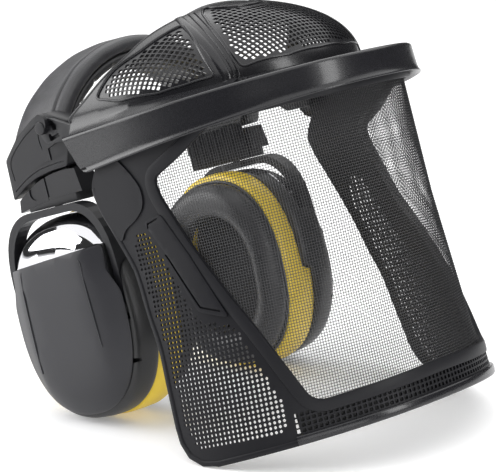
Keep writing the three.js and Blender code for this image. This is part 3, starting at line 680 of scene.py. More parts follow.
SIDE_PANEL = [
    (84.5, -58, 113), (76, -68, None), (67.5, -80.9, None), (56, -88.5, None), (44.5, -94.6, None),
    (53, -106.5, None), (58.5, -116, 119), (61, -123, 108.4), (71.9, -110, 107.6), (78.5, -97, 107),
    (84, -74, 108.5),
]
FRONT_PANEL = [
    (0, -147, 111), (23, -143.5, 110.5), (47.8, -131, 109.5), (45.5, -122, 121), (40.5, -111.5, None),
    (30, -98.5, None), (18.5, -89.6, None), (18.5, -98, None), (13, -106, None), (0, -109, None),
]
HOLE_PITCH = 2.75
HOLE_HALF = 1.06


def square_holes(outline, margin):
    """Rounded square holes on a grid inside an outline."""
    low, high = outline.min(0), outline.max(0)
    steps = [
        np.arange(math.floor(start / HOLE_PITCH) + 0.5, end / HOLE_PITCH + 1) * HOLE_PITCH
        for start, end in zip(low, high)
    ]
    middles = np.array(np.meshgrid(*steps)).reshape(2, -1).T
    middles = middles[inside(middles, outline)]
    middles = middles[clearance(middles, outline) > margin]
    hole = clipped_square(HOLE_HALF, HOLE_HALF * 0.74)
    return [hole + middle for middle in middles]


def grow(outline, distance):
    """Moves a closed outline outwards from its own area by a distance."""
    along = np.roll(outline, -1, 0) - np.roll(outline, 1, 0)
    normal = np.stack([along[:, 1], -along[:, 0]], 1) / np.linalg.norm(along, axis=1)[:, None]
    following = np.roll(outline, -1, 0)
    area = (outline[:, 0] * following[:, 1] - outline[:, 1] * following[:, 0]).sum()
    return outline + normal * distance * (1 if area > 0 else -1)


def foot_curve(turns, out=1.0):
    """Flat points round the dome's foot, by their turn from straight ahead; above 1 is down the shelf."""
    across = np.sign(turns) * DOME["half"] * np.abs(np.sin(turns)) ** (2 / DOME["power"])
    ahead = -DOME["reach"] * np.cos(turns) ** (2 / DOME["power"])
    return np.stack([across, ahead], 1) * out + (0, DOME["rear"])


def foot_rings():
    """Points along the dome's foot and down its shelf, so that the bend between them is clean."""
    turns = np.linspace(-PI / 2, PI / 2, 130)
    return np.vstack([foot_curve(turns, out) for out in (0.97, 1.0, 1.025, 1.05, 1.075)])


def dome_sheet(name, outline, holes, spacing, lift=0.0, wall=DOME_WALL, side=1, extra=None):
    """A walled piece of the dome between a flat outline and its holes."""
    flat, faces = flat_mesh(resample(outline, 2.5), holes, spacing, extra)
    area = sum(np.cross(flat[f[1]] - flat[f[0]], flat[f[2]] - flat[f[0]]) for f in faces[:50])
    if area < 0:
        faces = [tuple(reversed(f)) for f in faces]
    return thicken(make(name, dome_points(flat, lift), faces, side), wall)


def rim_beading(name, outline, height, width, lift=0.0, side=1, closed=True):
    """A raised bead that follows a flat outline over the dome."""
    flat = resample(outline, 2.0) if closed else outline
    path = dome_points(flat, lift)
    up = dome_points(flat, lift + 1.0) - path
    up /= np.linalg.norm(up, axis=1)[:, None]
    return sweep(name, path, up, oval(width, height, 10), closed=closed, side=side)


# The rear rim: (y, height) up the side, then (x, y) over the crown.
SIDE_RIM = [(-35.8, 104.0), (-36.5, 107), (-49, 114), (-61.5, 123), (-72, 130.7), (-77.4, 137.6)]
CROWN_RIM = [(42, -84), (31, -87.5), (16, -86), (0, -85.5)]


def build_dome():
    """The shell with its three grilles, their raised borders, the rear rim's beading and the ribs."""
    rim = [rim_flat(y, z) for y, z in SIDE_RIM] + [dome_flat(x, y) for x, y in CROWN_RIM]
    skirt = foot_curve(np.linspace(0, 1, 40) * PI / 2, 1 + SHELF)
    corner = (DOME["half"] * (1 + SHELF), -36.0)
    outline = mirrored(np.vstack([skirt, corner, smooth_line(rim, 60)]))
    side_panel = panel_outline(SIDE_PANEL)
    front_panel = panel_outline(FRONT_PANEL, middle=True)
    openings = [resample(o, 2.5) for o in (side_panel, other_side(side_panel), front_panel)]
    shell = dome_sheet("dome", outline, openings, 3.0, extra=foot_rings())
    pieces = [shell]
    panels = [(f"side_{label}", label, side_panel, side) for label, side in SIDES.items()]
    panels.append(("front", "front", front_panel, 1))
    for grille_name, label, panel, side in panels:
        holes = square_holes(panel, 2.1)
        grille = dome_sheet(f"dome_grille_{label}", grow(panel, -0.25), holes, 0, -0.5, 1.3, side)
        finish(grille, "brow_guard", SATIN, [f"grille_{grille_name}"], 30)
        pieces.append(rim_beading(f"grille_rim_{label}", grow(panel, 0.5), 1.3, 1.5, side=side))
    whole_rim = [point * (-1, 1) for point in rim[:-1]] + rim[::-1]
    rear_rim = smooth_line(whole_rim, 160)
    pieces.append(rim_beading("dome_rear_rim", rear_rim, 2.6, 2.4, lift=-0.9, closed=False))
    pieces += build_dome_ribs()
    for piece in pieces:
        replaced = ["dome_shell"] if piece is shell else ()
        finish(piece, "brow_guard", SATIN, replaced, 40)


RIB_LINE = [
    (34, -86.5, None), (43, -99, None), (50.5, -112, None), (54.3, -122, 120), (56, -128.5, 108),
]
# Each ridge's offset across the band, its width and its height.
RIDGES = {"broad": (-1.6, 5.2, 1.5), "inner": (2.6, 1.3, 1.5), "outer": (5.0, 1.5, 1.7)}


def build_dome_ribs():
    """The two moulded bands between the panels, each a broad rib with two fine ridges beside a groove."""
    pieces = []
    line = [dome_flat(*p) for p in RIB_LINE]
    foot = line[-1] - (0, DOME["rear"])
    line += [foot * k + (0, DOME["rear"]) for k in (1.04, 1.085)]
    spine = smooth_line(line, 40)
    across = np.stack([np.gradient(spine[:, 1]), -np.gradient(spine[:, 0])], 1)
    across /= np.linalg.norm(across, axis=1)[:, None]
    for label, side in SIDES.items():
        for ridge, (offset, width, height) in RIDGES.items():
            line = spine + across * offset
            name = f"dome_rib_{ridge}_{label}"
            pieces.append(rim_beading(name, line, height, width, -0.1, side, closed=False))
    return pieces


# ---------------------------------------------------------------- visor
# The visor is laid out flat: distance along its plan, and height. Outlines are given in side view as
# (y, z) for one side and carried on to the plan.

VISOR_BOTTOM = -89.2
VISOR_FLARE = dict(spread=13.8, top=20.5)
VISOR_WALL = 1.3
REAR_EDGE = [
    (-73.5, -66), (-72, -45), (-70.5, -24), (-66.5, -6), (-62, 18), (-53, 42), (-47.5, 56), (-46, 67),
    (-52, 77),
]


def visor_foot(y):
    return VISOR_BOTTOM + 0.046 * (-97 - y)


def visor_points(flat, out=0.0):
    """Carries flat visor coordinates on to the visor, a distance out from its face."""
    x, y, nx, ny = VISOR_PLAN.at(flat[:, 0])
    z = flat[:, 1]
    share = np.maximum((VISOR_FLARE["top"] - z) / (VISOR_FLARE["top"] - VISOR_BOTTOM), 0)
    wider = 1 + VISOR_FLARE["spread"] * share / VISOR_PLAN.half
    return on_floor(np.stack([x * wider + nx * out, y + ny * out, z], 1))


def on_floor(points):
    """Flattens whatever would reach below the floor that the object stands on."""
    drop = TO_ROW.translation.z * 1000
    floor = (points[:, 1] * math.sin(LEAN) - drop) / math.cos(LEAN)
    points[:, 2] = np.maximum(points[:, 2], floor)
    return points


def side_flat(points):
    """Side-view points (y, z) as flat visor points."""
    y, z = np.array(points, float).T
    return np.stack([VISOR_PLAN.along(y), z], 1)


def side_line(points, step=2.5):
    """A side-view line, with points added along it, as flat visor points."""
    line = [np.array(points[0], float)]
    for a, b in zip(points[:-1], points[1:]):
        a, b = np.array(a, float), np.array(b, float)
        count = max(1, math.ceil(np.linalg.norm(b - a) / step))
        line += [a + (b - a) * k / count for k in range(1, count + 1)]
    return side_flat(line)


def side_outline(points, radius=3.0):
    return rounded(side_flat(points), radius)


def foot_line(end_y, rise):
    """A flat line round the visor's front, a little above its lower edge."""
    reach = np.linspace(-1, 1, 121) * VISOR_PLAN.along(end_y)
    return np.stack([reach, visor_foot(VISOR_PLAN.at(reach)[1]) + rise], 1)


def window_outline(margin=0.0):
    """The window's edge, moved outwards by a margin."""
    low, high = -65 - margin, 84 + margin
    corners = [
        (-147, low - 2.2), (margin - 131, -27), (margin - 118, -2), (margin - 104, 24), (margin - 92, 55),
        (margin - 91, high - 20), (-108, high - 12.5), (-128, high),
    ]
    half = np.vstack([(0, low), side_flat(corners), (0, high)])
    return rounded(mirrored(half), 7.0, 7)


def frame_outline():
    reach = np.linspace(0, float(VISOR_PLAN.along(-97)), 60)
    foot = np.stack([reach, visor_foot(VISOR_PLAN.at(reach)[1])], 1)
    start, middle, end = np.array([(-97, VISOR_BOTTOM), (-76, -86), (-73.5, -66)])
    corner = corner_curve(start, middle, end, np.linspace(0.1, 1, 12))
    rear = smooth_line(REAR_EDGE, 60)[1:]
    side = side_line([*corner, *rear, (-54, 90.4)])
    top = np.linspace(side[-1][0], 0, 50)[1:]
    top = np.stack([top, brim_high(VISOR_PLAN.at(top)[1]) - 7], 1)
    return mirrored(np.vstack([foot, side, top]))


# The perforated fields: round holes behind the window, and rows of square ones along the bottom.
SIDE_FIELD = [
    (-70.5, 38.6), (-64.5, 28), (-67.2, 18), (-71.7, -6), (-75.5, -24), (-77.3, -45), (-79, -66),
    (-86, -79), (-100, -80.5), (-134, -79), (-136, -67.5), (-122.5, -29), (-119.5, -19.5),
    (-99.5, -12.5), (-76.5, 40),
]
ROUND_PITCH, ROUND_RADIUS = 2.55, 0.88
SQUARE_PITCH, SQUARE_ROW, SQUARE_HALF = 2.85, 2.75, 0.98


def round_holes():
    field = side_flat(SIDE_FIELD)
    low, high = field.min(0), field.max(0)
    steps = [np.arange(start, end, ROUND_PITCH) for start, end in zip(low, high)]
    middles = np.array(np.meshgrid(*steps)).reshape(2, -1).T
    middles = middles[inside(middles, field)]
    middles = middles[clearance(middles, field) > ROUND_RADIUS * 0.6]
    angles = 2 * PI * (np.arange(8) + 0.5) / 8
    circle = ROUND_RADIUS * np.stack([np.cos(angles), np.sin(angles)], 1)
    return [circle + middle for middle in middles]


def square_rows():
    square = clipped_square(SQUARE_HALF, SQUARE_HALF * 0.7)
    reach = float(VISOR_PLAN.along(-139))
    holes = []
    for s in np.arange(-reach, reach, SQUARE_PITCH):
        foot = visor_foot(VISOR_PLAN.at(s)[1])
        holes += [square + (s, foot + 7.2 + row * SQUARE_ROW) for row in range(4)]
    return holes


def visor_strip(name, line, section, out=0.0, closed=False, side=1):
    """A section carried along a flat line over the visor."""
    return sweep(name, visor_points(line, out), outward_of(line), section, closed=closed, side=side)


def build_visor_frame():
    window = window_outline()
    round_ones = round_holes()
    holes = round_ones + [other_side(hole) for hole in round_ones] + square_rows()
    flat, faces = flat_mesh(resample(frame_outline(), 3.0), [resample(window, 3.0), *holes], 4.0)
    sheet = thicken(make("visor_frame", visor_points(flat), faces), VISOR_WALL)
    finish(sheet, "brow_guard", MATT, ["visor_frame"], 40)

    # the window's thickened border, the front's lower edging, and the strip that clamps the mesh
    border = resample(grow(window, 3.4), 3.0)
    lip = visor_strip("window_border", border, oval(6.6, 1.9, 12, 4.0, 0.1), closed=True)
    finish(lip, "brow_guard", MATT, smooth=50)
    edging = visor_strip("visor_edging", foot_line(-138, 2.7), oval(5.2, 3.2, 16, 3.6, 0.4))
    finish(edging, "brow_guard", SATIN, ["visor_edging"], 50)
    clamp = visor_strip("mesh_clamp", foot_line(-139, 11.4), oval(12.5, 0.9, 12, 5.0), -2.9)
    finish(clamp, "brow_guard", DARK, smooth=50)

    # a bead along each side's outer edge
    foot = (-97, VISOR_BOTTOM + 1.7)
    corner = [(-88, -86.3), (-80.5, -81.5), (-76.4, -74)]
    rear = smooth_line([(y - 1.5, z) for y, z in REAR_EDGE[:-1]], 60)
    line = side_line([(-138, visor_foot(-138) + 1.7), foot, *corner, *rear])
    for label, side in SIDES.items():
        bead = visor_strip(f"visor_rim_{label}", line, oval(3.0, 1.3, 10, 2.6), side=side)
        finish(bead, "brow_guard", MATT, smooth=50)


def outward_of(flat):
    """The visor's outward direction at flat points."""
    out = visor_points(flat, 1.0) - visor_points(flat)
    return out / np.maximum(np.linalg.norm(out, axis=1)[:, None], 1e-6)


def visor_plate(name, outline, proud, wall, side, holes=(), edge=0.4):
    """A plate that follows the visor, its face proud of the visor's."""
    flat, faces = flat_mesh(resample(outline, 2.0), list(holes), 3.0)
    plate = thicken(make(name, visor_points(flat, proud), faces, side), wall)
    return round_edges(plate, edge, 50)


CLIP_PLATE = [
    (-68, 81), (-76, 71), (-81.5, 61), (-80.5, 51), (-72, 44.5), (-63.5, 41.5), (-58.8, 34.5), (-55, 43),
    (-49.5, 56), (-48.5, 66), (-52.5, 75), (-54, 81),
]
STIFFENER = [(-78, 43), (-90, 45.5), (-117, -15), (-101, -9)]
GROOVE = [(-87.5, 43.2), (-80.6, 41.6), (-79.9, 38), (-102.6, -6.7), (-113.2, -10.8)]
GROOVE_HALF_WIDTH = 0.5


def build_visor_plates():
    groove = side_line(GROOVE, 3)
    across = np.stack([np.gradient(groove[:, 1]), -np.gradient(groove[:, 0])], 1)
    across *= GROOVE_HALF_WIDTH / np.linalg.norm(across, axis=1)[:, None]
    slit = np.vstack([groove + across, (groove - across)[::-1]])
    for label, side in SIDES.items():
        plate_name, bar_name = f"visor_clip_plate_{label}", f"visor_stiffener_{label}"
        plate = visor_plate(plate_name, side_outline(CLIP_PLATE, 5), 1.0, 0.9, side, edge=0.3)
        finish(plate, "brow_guard", MATT, [plate_name])
        bar = visor_plate(bar_name, side_outline(STIFFENER), 1.5, 1.4, side, [slit])
        finish(bar, "brow_guard", MATT, [bar_name])


# ---------------------------------------------------------------- woven mesh

THREAD_PITCH = 1.45
THREAD_RADIUS = 0.2
THREAD_WAVE = 0.24
MESH_DEPTH = -3.1


def thread_span(outline, axis, value):
    """Where a straight line at this value of one axis enters and leaves an outline."""
    a, b = outline, np.roll(outline, -1, 0)
    cuts = (a[:, axis] > value) != (b[:, axis] > value)
    t = (value - a[cuts, axis]) / (b[cuts, axis] - a[cuts, axis])
    other = 1 - axis
    at = a[cuts, other] + t * (b[cuts, other] - a[cuts, other])
    return (at.min(), at.max()) if len(at) else None


def weave(name, outline, low, high):
    """Threads woven over and under one another inside an outline, between two distances along it."""
    points, faces = [], []
    columns = np.arange(math.ceil(low / THREAD_PITCH), math.ceil(high / THREAD_PITCH))
    rows = np.arange(math.ceil(outline[:, 1].min() / THREAD_PITCH), outline[:, 1].max() / THREAD_PITCH)
    angles = 2 * PI * np.arange(3) / 3
    for axis, lines in ((0, columns), (1, rows)):
        for line in lines:
            span = thread_span(outline, axis, line * THREAD_PITCH)
            if span is None:
                continue
            start, end = span
            if axis == 1:
                start, end = max(start, low - THREAD_PITCH), min(end, high)
            steps = np.arange(math.ceil(start / THREAD_PITCH), math.floor(end / THREAD_PITCH) + 1)
            if len(steps) < 2:
                continue
            wave = THREAD_WAVE * np.where((steps + line) % 2 == 0, 1, -1) * (1 if axis else -1)
            middle = np.empty((len(steps), 2))
            middle[:, axis] = line * THREAD_PITCH
            middle[:, 1 - axis] = steps * THREAD_PITCH
            first = len(points)
            ring = []
            for angle in angles:
                shifted = middle.copy()
                shifted[:, axis] += THREAD_RADIUS * math.cos(angle)
                ring.append(visor_points(shifted, MESH_DEPTH + wave + THREAD_RADIUS * math.sin(angle)))
            ring = np.stack(ring, 1).reshape(-1, 3)
            quads = grid_faces(len(steps), len(angles), close_columns=True)
            faces += [tuple(first + i for i in face) for face in quads]
            points += ring.tolist()
    return face_out(make(name, points, faces))


def build_woven_mesh():
    """The wire mesh behind the window, in three pieces that meet."""
    outline = window_outline(4.0)
    edges = np.linspace(-1, 1, 4) * outline[:, 0].max()
    for label, low, high in zip(("right", "front", "left"), edges[:-1], edges[1:]):
        piece = weave(f"woven_mesh_{label}", outline, low, high)
        finish(piece, "brow_guard", THREAD, ["visor_mesh"], 60)


# ---------------------------------------------------------------- ear cups

CUP = dict(half_width=45.8, half_height=57.4, power=2.3)
COLLAR_HALF_WIDTH = 42.5
CAP_LINE = 35.2
SHOULDER = 2.6
YOKE = dict(top=62.6, depth=9.0)
LEG_END = 4.5
LEG_COVER = 43.3
POCKET_Y = 36.9
COVER_BASE = 87.2  # how far out the cover starts to stand proud of the shell
CAP_GAP = 0.15  # half the gap along the cap's line
CUT = dict(reach=60, height=80, out=120)  # a cutter's size, past every side of the cup


def cap_line(y):
    """The height of the line between the cap and the cover, which falls towards the back."""
    return CAP_LINE - 0.056 * y


def cup_form(profile, half_width=CUP["half_width"], segments=112, shoulder=CUP["power"]):
    """
    Rings of (share of the outline, depth) as points, and their quads; share 0 closes the form. A shoulder
    above the usual power squares off the upper half.
    """
    angles = 2 * PI * np.arange(segments) / segments
    power = 2 / np.where(np.sin(angles) > 0, shoulder, CUP["power"])
    c = np.sign(np.cos(angles)) * np.abs(np.cos(angles)) ** power * half_width
    s = np.sign(np.sin(angles)) * np.abs(np.sin(angles)) ** power * CUP["half_height"]
    rings = [np.stack([np.full(segments, depth), c * share, s * share], 1) for share, depth in profile]
    return np.vstack(rings), grid_faces(len(profile), segments, False, True)


def cup_piece(
    name, profile, side, half_width=CUP["half_width"], segments=112, shape=None, shoulder=CUP["power"],
):
    """A solid ear-cup part; the profile runs from share 0 or forms a closed loop of rings."""
    points, faces = cup_form(profile, half_width, segments, shoulder)
    if shape:
        points = shape(points)
    if profile[0] == profile[-1]:
        last = (len(profile) - 1) * segments
        faces = [tuple(i - last if i >= last else i for i in face) for face in faces]
        points = points[:last]
    return face_out(make(name, on_floor(points), faces, side), weld=True)


def leg_pocket(side, direction):
    """The space round one leg of the yoke: it widens upwards, so that the cup can tilt."""
    half = YOKE["depth"] / 2 + 0.8
    fan = YOKE["top"] * math.tan(math.radians(8))
    flank = [(half + 1.2, -LEG_END - 2), (half, 0), (half + fan, 62)]
    outline = [(PIVOT_X - out, z) for out, z in flank] + [(PIVOT_X + out, z) for out, z in flank[::-1]]
    outline = rounded(outline, 3.0)
    ends = sorted((direction * POCKET_Y, direction * LEG_COVER))
    return prism("pocket", outline, *ends, 1, side)


def widen_below_legs(points):
    """Below the yoke's legs the collar is broader and the hard shell starts further out."""
    below = np.clip((-7 - points[:, 2]) / 1.5, 0, 1)
    share = np.clip((points[:, 0] - 52) / 8, 0, 1) * np.clip((78 - points[:, 0]) / 14, 0, 1)
    points[:, 0] += 6.5 * below * share
    return points


def facet_edge(height):
    """How far in front of and behind the middle the cover's facets start."""
    return 24.2 + (CAP_LINE - height) * 0.035


def facets(points):
    """Lets the cover's face fall away in front of and behind two long straight edges."""
    beyond = np.maximum(np.abs(points[:, 1]) - facet_edge(points[:, 2]), 0)
    proud = points[:, 0] - COVER_BASE
    lowered = COVER_BASE + proud * np.maximum(1 - beyond * 0.04, 0.2)
    points[:, 0] = np.where(proud > 0, lowered, points[:, 0])
    return points


# Profiles of the cup's parts: (share of the cup's outline, how far out).
SHELL_PROFILE = [
    (0, 86.5), (0.87, 86.5), (0.92, 86.4), (0.95, 85.8), (0.972, 84.4), (0.988, 82), (0.997, 78),
    (1, 73), (1, 68), (0.996, 64.5), (0.985, 62.7), (0.97, 62.3), (0.88, 62.3), (0.87, 68), (0.78, 74),
    (0.74, 79), (0.62, 82), (0, 82),
]
CAP_PROFILE = [
    (0, 91.5), (0.25, 91.9), (0.5, 92.1), (0.62, 91.8), (0.72, 90.9), (0.8, 89.5), (0.86, 87.7),
    (0.91, 85.2), (0.95, 81.8), (0.98, 77.6), (0.995, 74), (1.0, 71), (0.99, 70.1), (0.9, 70), (0.84, 77),
    (0.7, 82), (0, 82),
]
COVER_PROFILE = [
    (0, 95.5), (0.3, 95.5), (0.5, 95.4), (0.62, 95), (0.72, 94.1), (0.8, 92.7), (0.86, 91), (0.9, 89.6),
    (0.925, 88.3), (0.934, 87.3), (0.93, 86.8), (0.6, 86.8), (0, 86.8),
]
COLLAR_PROFILE = [
    (0.86, 46.5), (0.96, 46.5), (0.99, 46.8), (1.012, 48), (1.02, 50), (1.022, 54), (1.02, 59.4),
    (1.01, 61.3), (0.995, 62), (0.86, 62), (0.86, 46.5),
]
LIP_PROFILE = [
    (0.63, 47.2), (0.64, 46.7), (0.66, 46.5), (0.8, 46.5), (0.82, 46.8), (0.82, 48.1), (0.66, 48.1),
    (0.64, 47.9), (0.63, 47.2),
]


NOTCH = [(-28.3, -24.6), (-30.5, -25.2), (-44, -28.6), (-44, -29.8), (-29.6, -29.4)]


def outer_part(name, side, profile, cut_away, cut_from, **form):
    """A squared-shouldered part of the cup, cut off along the cap's line and open for the yoke's legs."""
    part = cup_piece(name, profile, side, shoulder=SHOULDER, **form)
    cut = prism("cut", cut_away, cut_from, CUT["out"], 0, side)
    return carve(part, cut, *[leg_pocket(side, direction) for direction in (-1, 1)])


def build_cup(label, side):
    body = f"cup_{label}"
    name = f"cup_shell_{label}"
    reach, height = CUT["reach"], CUT["height"]
    line = [(y, cap_line(y)) for y in (-reach, reach)]
    above = [(y, z - CAP_GAP) for y, z in line] + [(reach, height), (-reach, height)]
    below = [(-reach, -height), (reach, -height)] + [(y, z + CAP_GAP) for y, z in line[::-1]]
    shell = outer_part(name, side, SHELL_PROFILE, above, 69.7, shape=widen_below_legs)
    carve(shell, prism("notch", rounded(NOTCH, 0.5), 82.5, 95, 0, side))
    finish(round_edges(shell, 0.5, 40), body, GRAINED, [name], 40)

    name = f"cup_cap_{label}"
    cap = outer_part(name, side, CAP_PROFILE, below, 60)
    finish(round_edges(cap, 0.45, 40), body, GLOSS, [name], 40)

    name = f"cup_cover_{label}"
    cover = outer_part(name, side, COVER_PROFILE, above, 60, shape=facets, segments=160)
    finish(round_edges(cover, 0.5, 40), body, COVER, [name], 24)
    build_cover_lines(label, side, body)

    name = f"cushion_ring_{label}"
    collar = cup_piece(name, COLLAR_PROFILE, side, COLLAR_HALF_WIDTH, 160, widen_below_legs)
    finish(collar, body, YELLOW, [name])
    lip = cup_piece(f"collar_lip_{label}", LIP_PROFILE, side)
    finish(lip, body, YELLOW)


def build_cover_lines(label, side, body):
    """Fine raised lines along the cover's two facet edges, which draw together at their upper ends."""
    for end, direction, low in (("front", -1, -17), ("rear", 1, -26)):
        heights = np.linspace(CAP_LINE - 3.5, low, 40)
        hook = 3.4 * np.maximum((heights - 29) / 5, 0) ** 2
        line = (facet_edge(heights) - hook) * direction
        path = np.stack([cover_depth(line, heights), line, heights], 1)
        up = np.tile((1.0, 0, 0), (40, 1))
        bead = sweep(f"cover_line_{end}_{label}", path, up, oval(0.7, 0.7, 8), side=side)
        finish(bead, body, COVER, smooth=60)


def cup_share(y, z):
    """How far out from the pivot places in side view lie (1 is on the cup's outline)."""
    return share_out(y / CUP["half_width"], z / CUP["half_height"], CUP["power"])


def cover_depth(y, z):
    """How far out the cover's face is at places in side view."""
    shares, depths = zip(*COVER_PROFILE[:10])
    return facets(np.stack([np.interp(cup_share(y, z), shares, depths), y, z], 1))[:, 0]


# ---------------------------------------------------------------- soft parts


def inflate(piece, pinned, pressure, limit_mm, frames=20):
    """Blows a soft piece up as cloth, with the points for which pinned is true held still."""
    start = mesh_points(piece.data)
    group = piece.vertex_groups.new(name="held")
    group.add([int(i) for i in np.nonzero(pinned)[0]], 1.0, "REPLACE")
    modify(piece, "CLOTH")
    settings = piece.modifiers[-1].settings
    settings.use_pressure = True
    settings.uniform_pressure_force = pressure
    settings.vertex_group_mass = "held"
    settings.effector_weights.gravity = 0
    settings.quality = 6
    settings.mass = 0.2
    settings.bending_stiffness = 0.6
    scene = bpy.context.scene
    for frame_number in range(1, frames + 1):
        scene.frame_set(frame_number)
    evaluated = piece.evaluated_get(bpy.context.evaluated_depsgraph_get())
    moved = mesh_points(evaluated.data) - start
    length = np.linalg.norm(moved, axis=1)[:, None]
    limit = limit_mm / 1000
    moved *= limit * np.tanh(length / limit) / np.maximum(length, 1e-9)
    piece.modifiers.clear()
    piece.vertex_groups.clear()
    put_points(piece.data, start + moved)
    scene.frame_set(1)
    return piece


def put_points(mesh, points):
    mesh.vertices.foreach_set("co", points.ravel())
    mesh.update()


def reshape(piece, change):
    """Moves a piece's points by a function of their wearer-frame millimetres."""
    put_points(piece.data, to_row(change(to_wearer(mesh_points(piece.data)))))
    return piece


def subdivide(piece, levels=1):
    modify(piece, "SUBSURF", levels=levels, render_levels=levels)
    return bake(piece)


def twin(piece, name):
    """A mirrored copy for the wearer's right."""
    copy = piece.copy()
    copy.data = piece.data.copy()
    copy.name = name
    bpy.context.scene.collection.objects.link(copy)
    reshape(copy, lambda points: points * (-1, 1, 1))
    copy.data.flip_normals()
    return copy


CUSHION_PROFILE = [
    (0.60, 45), (0.595, 41), (0.60, 37.4), (0.625, 34.4), (0.67, 32.6), (0.73, 31.8), (0.80, 31.9),
    (0.86, 33), (0.905, 35.2), (0.93, 38.4), (0.935, 41.5), (0.925, 44.4), (0.91, 46.2), (0.80, 46.2),
    (0.70, 46.2), (0.62, 46.2), (0.60, 45),
]
FOAM_PROFILE = [
    (0, 54.6), (0.2, 54.7), (0.4, 55.1), (0.55, 55.9), (0.66, 57), (0.74, 58.6), (0.79, 60.6),
    (0.815, 63), (0.8, 66), (0.72, 70), (0, 72),
]
CUSHION_SEAM = 0.66  # share of the cup's outline at which the cushion's face is sewn
CUSHION_BACK = 44.2  # how far out the cushion is held still while it is blown up


def gather(points):
    """Draws in the seam round a cushion's face, puckers its inner wall and leaves it slightly uneven."""
    share = cup_share(points[:, 1], points[:, 2])
    around = np.arctan2(points[:, 2], points[:, 1])
    seam = np.exp(-(((share - CUSHION_SEAM) / 0.012) ** 2)) * (points[:, 0] < 38)
    wall = np.clip((CUSHION_SEAM - share) / 0.05, 0, 1)
    pucker = np.sin(around * 46) * 0.35 * wall + np.sin(around * 17 + 1.3) * 0.25 * wall
    soft = 0.35 * np.sin(around * 5 + 0.7) * np.sin(points[:, 0] * 0.25)
    points[:, 0] += seam * 0.9 + pucker * 0.5 + soft * (points[:, 0] < 44)
    return on_floor(points)


def ruffle(points):
    """Leaves the foam's face slightly uneven."""
    bumps = np.sin(points[:, 1] * 0.21) * np.sin(points[:, 2] * 0.17)
    points[:, 0] += 0.5 * bumps * np.sign(points[:, 0])
    return points


def build_cushions():
    """The left cushion is blown up like the filled one it is, then copied for the right."""
    cushion = cup_piece("ear_cushion_left", CUSHION_PROFILE, 1, segments=96)
    inflate(cushion, to_wearer(mesh_points(cushion.data))[:, 0] > CUSHION_BACK, 4.0, 3.5)
    reshape(subdivide(cushion), gather)
    pieces = {"left": cushion, "right": twin(cushion, "ear_cushion_right")}
    for label, side in SIDES.items():
        body, piece = f"cup_{label}", pieces[label]
        finish(piece, body, CUSHION_LEATHER, [f"ear_cushion_{label}"], 60)
        foam = cup_piece(f"foam_insert_{label}", FOAM_PROFILE, side, segments=96)
        reshape(foam, ruffle)
        finish(foam, body, FOAM, [f"foam_insert_{label}"], 60)
        welt = cup_form([(0.945, 45.2)], 44.5, 120)[0]
        out = welt * (0, 1, 1)
        out /= np.linalg.norm(out, axis=1)[:, None]
        cord = sweep(f"cushion_welt_{label}", on_floor(welt), out, oval(1.9, 1.9, 10), True, side)
        finish(cord, body, CUSHION_LEATHER, smooth=60)


BAND = dict(centre_z=58.0, radius=90.0, half_width=15.0, end_angle=32.0, rear_flare=9.0)
BAND_INNER = 81.0  # the cover's inner radius
PAD_OUTER = 80.7
PAD_THICKNESS = 5.5
SEAM_AT = -8.0
STITCH_PITCH = 14.0  # degrees


def band_points(angle, side, radius):
    """Points on the headband: angle along the arch, side from -half_width (front) to +half_width."""
    share = side / BAND["half_width"]
    back = BAND["rear_flare"] * np.maximum(share, 0) * np.abs(np.cos(angle)) ** 0.6
    height = BAND["centre_z"] + radius * np.sin(angle)
    return np.stack([-radius * np.cos(angle), side + back, height], -1)


def band_piece(name, section, end_angle, rows=150, wave=None):
    """A closed section of (side, radius) carried along the headband's arch."""
    start = math.radians(end_angle)
    angles = np.linspace(start, PI - start, rows)
    side, radius = np.array(section).T
    grid_angle, grid_side = np.meshgrid(angles, side, indexing="ij")
    grid_radius = np.tile(radius, (rows, 1))
    if wave:
        grid_radius = wave(grid_angle, grid_side, grid_radius)
    points = band_points(grid_angle, grid_side, grid_radius).reshape(-1, 3)
    faces = grid_faces(rows, len(side), close_columns=True) + end_caps(rows, len(side))
    return face_out(make(name, points, faces))


def crown(side):
    """The headband's outer radius: crowned, with a stitched channel and a fuller front edge."""
    share = side / BAND["half_width"]
    channel = 1.5 * math.exp(-(((side - SEAM_AT) / 0.75) ** 2))
    front_roll = 0.5 * math.exp(-(((side + 11.6) / 2.2) ** 2))
    return BAND["radius"] - 2.6 * abs(share) ** 3.4 - channel + front_roll


def rippled(angle, side, radius):
    """Leaves the headband's outer face slightly uneven."""
    ripple = np.sin(angle * 9 + side * 0.12) * 0.22 + np.sin(angle * 23 - side * 0.31) * 0.08
    return radius + ripple * (radius > BAND["radius"] - 4)


def channels(points):
    """Draws in a stitched line across the pad every few degrees."""
    angle = np.arctan2(points[:, 2] - BAND["centre_z"], points[:, 0])
    radius = np.hypot(points[:, 0], points[:, 2] - BAND["centre_z"])
    turn = (np.degrees(angle) - 90) / STITCH_PITCH
    near = np.abs(turn - np.round(turn)) * STITCH_PITCH
    drawn = 1.6 * np.exp(-((near / 1.1) ** 2)) * (radius < PAD_OUTER - 2.4)
    scale = 1 + drawn / radius
    points[:, 0] *= scale
    points[:, 2] = BAND["centre_z"] + (points[:, 2] - BAND["centre_z"]) * scale
    return points


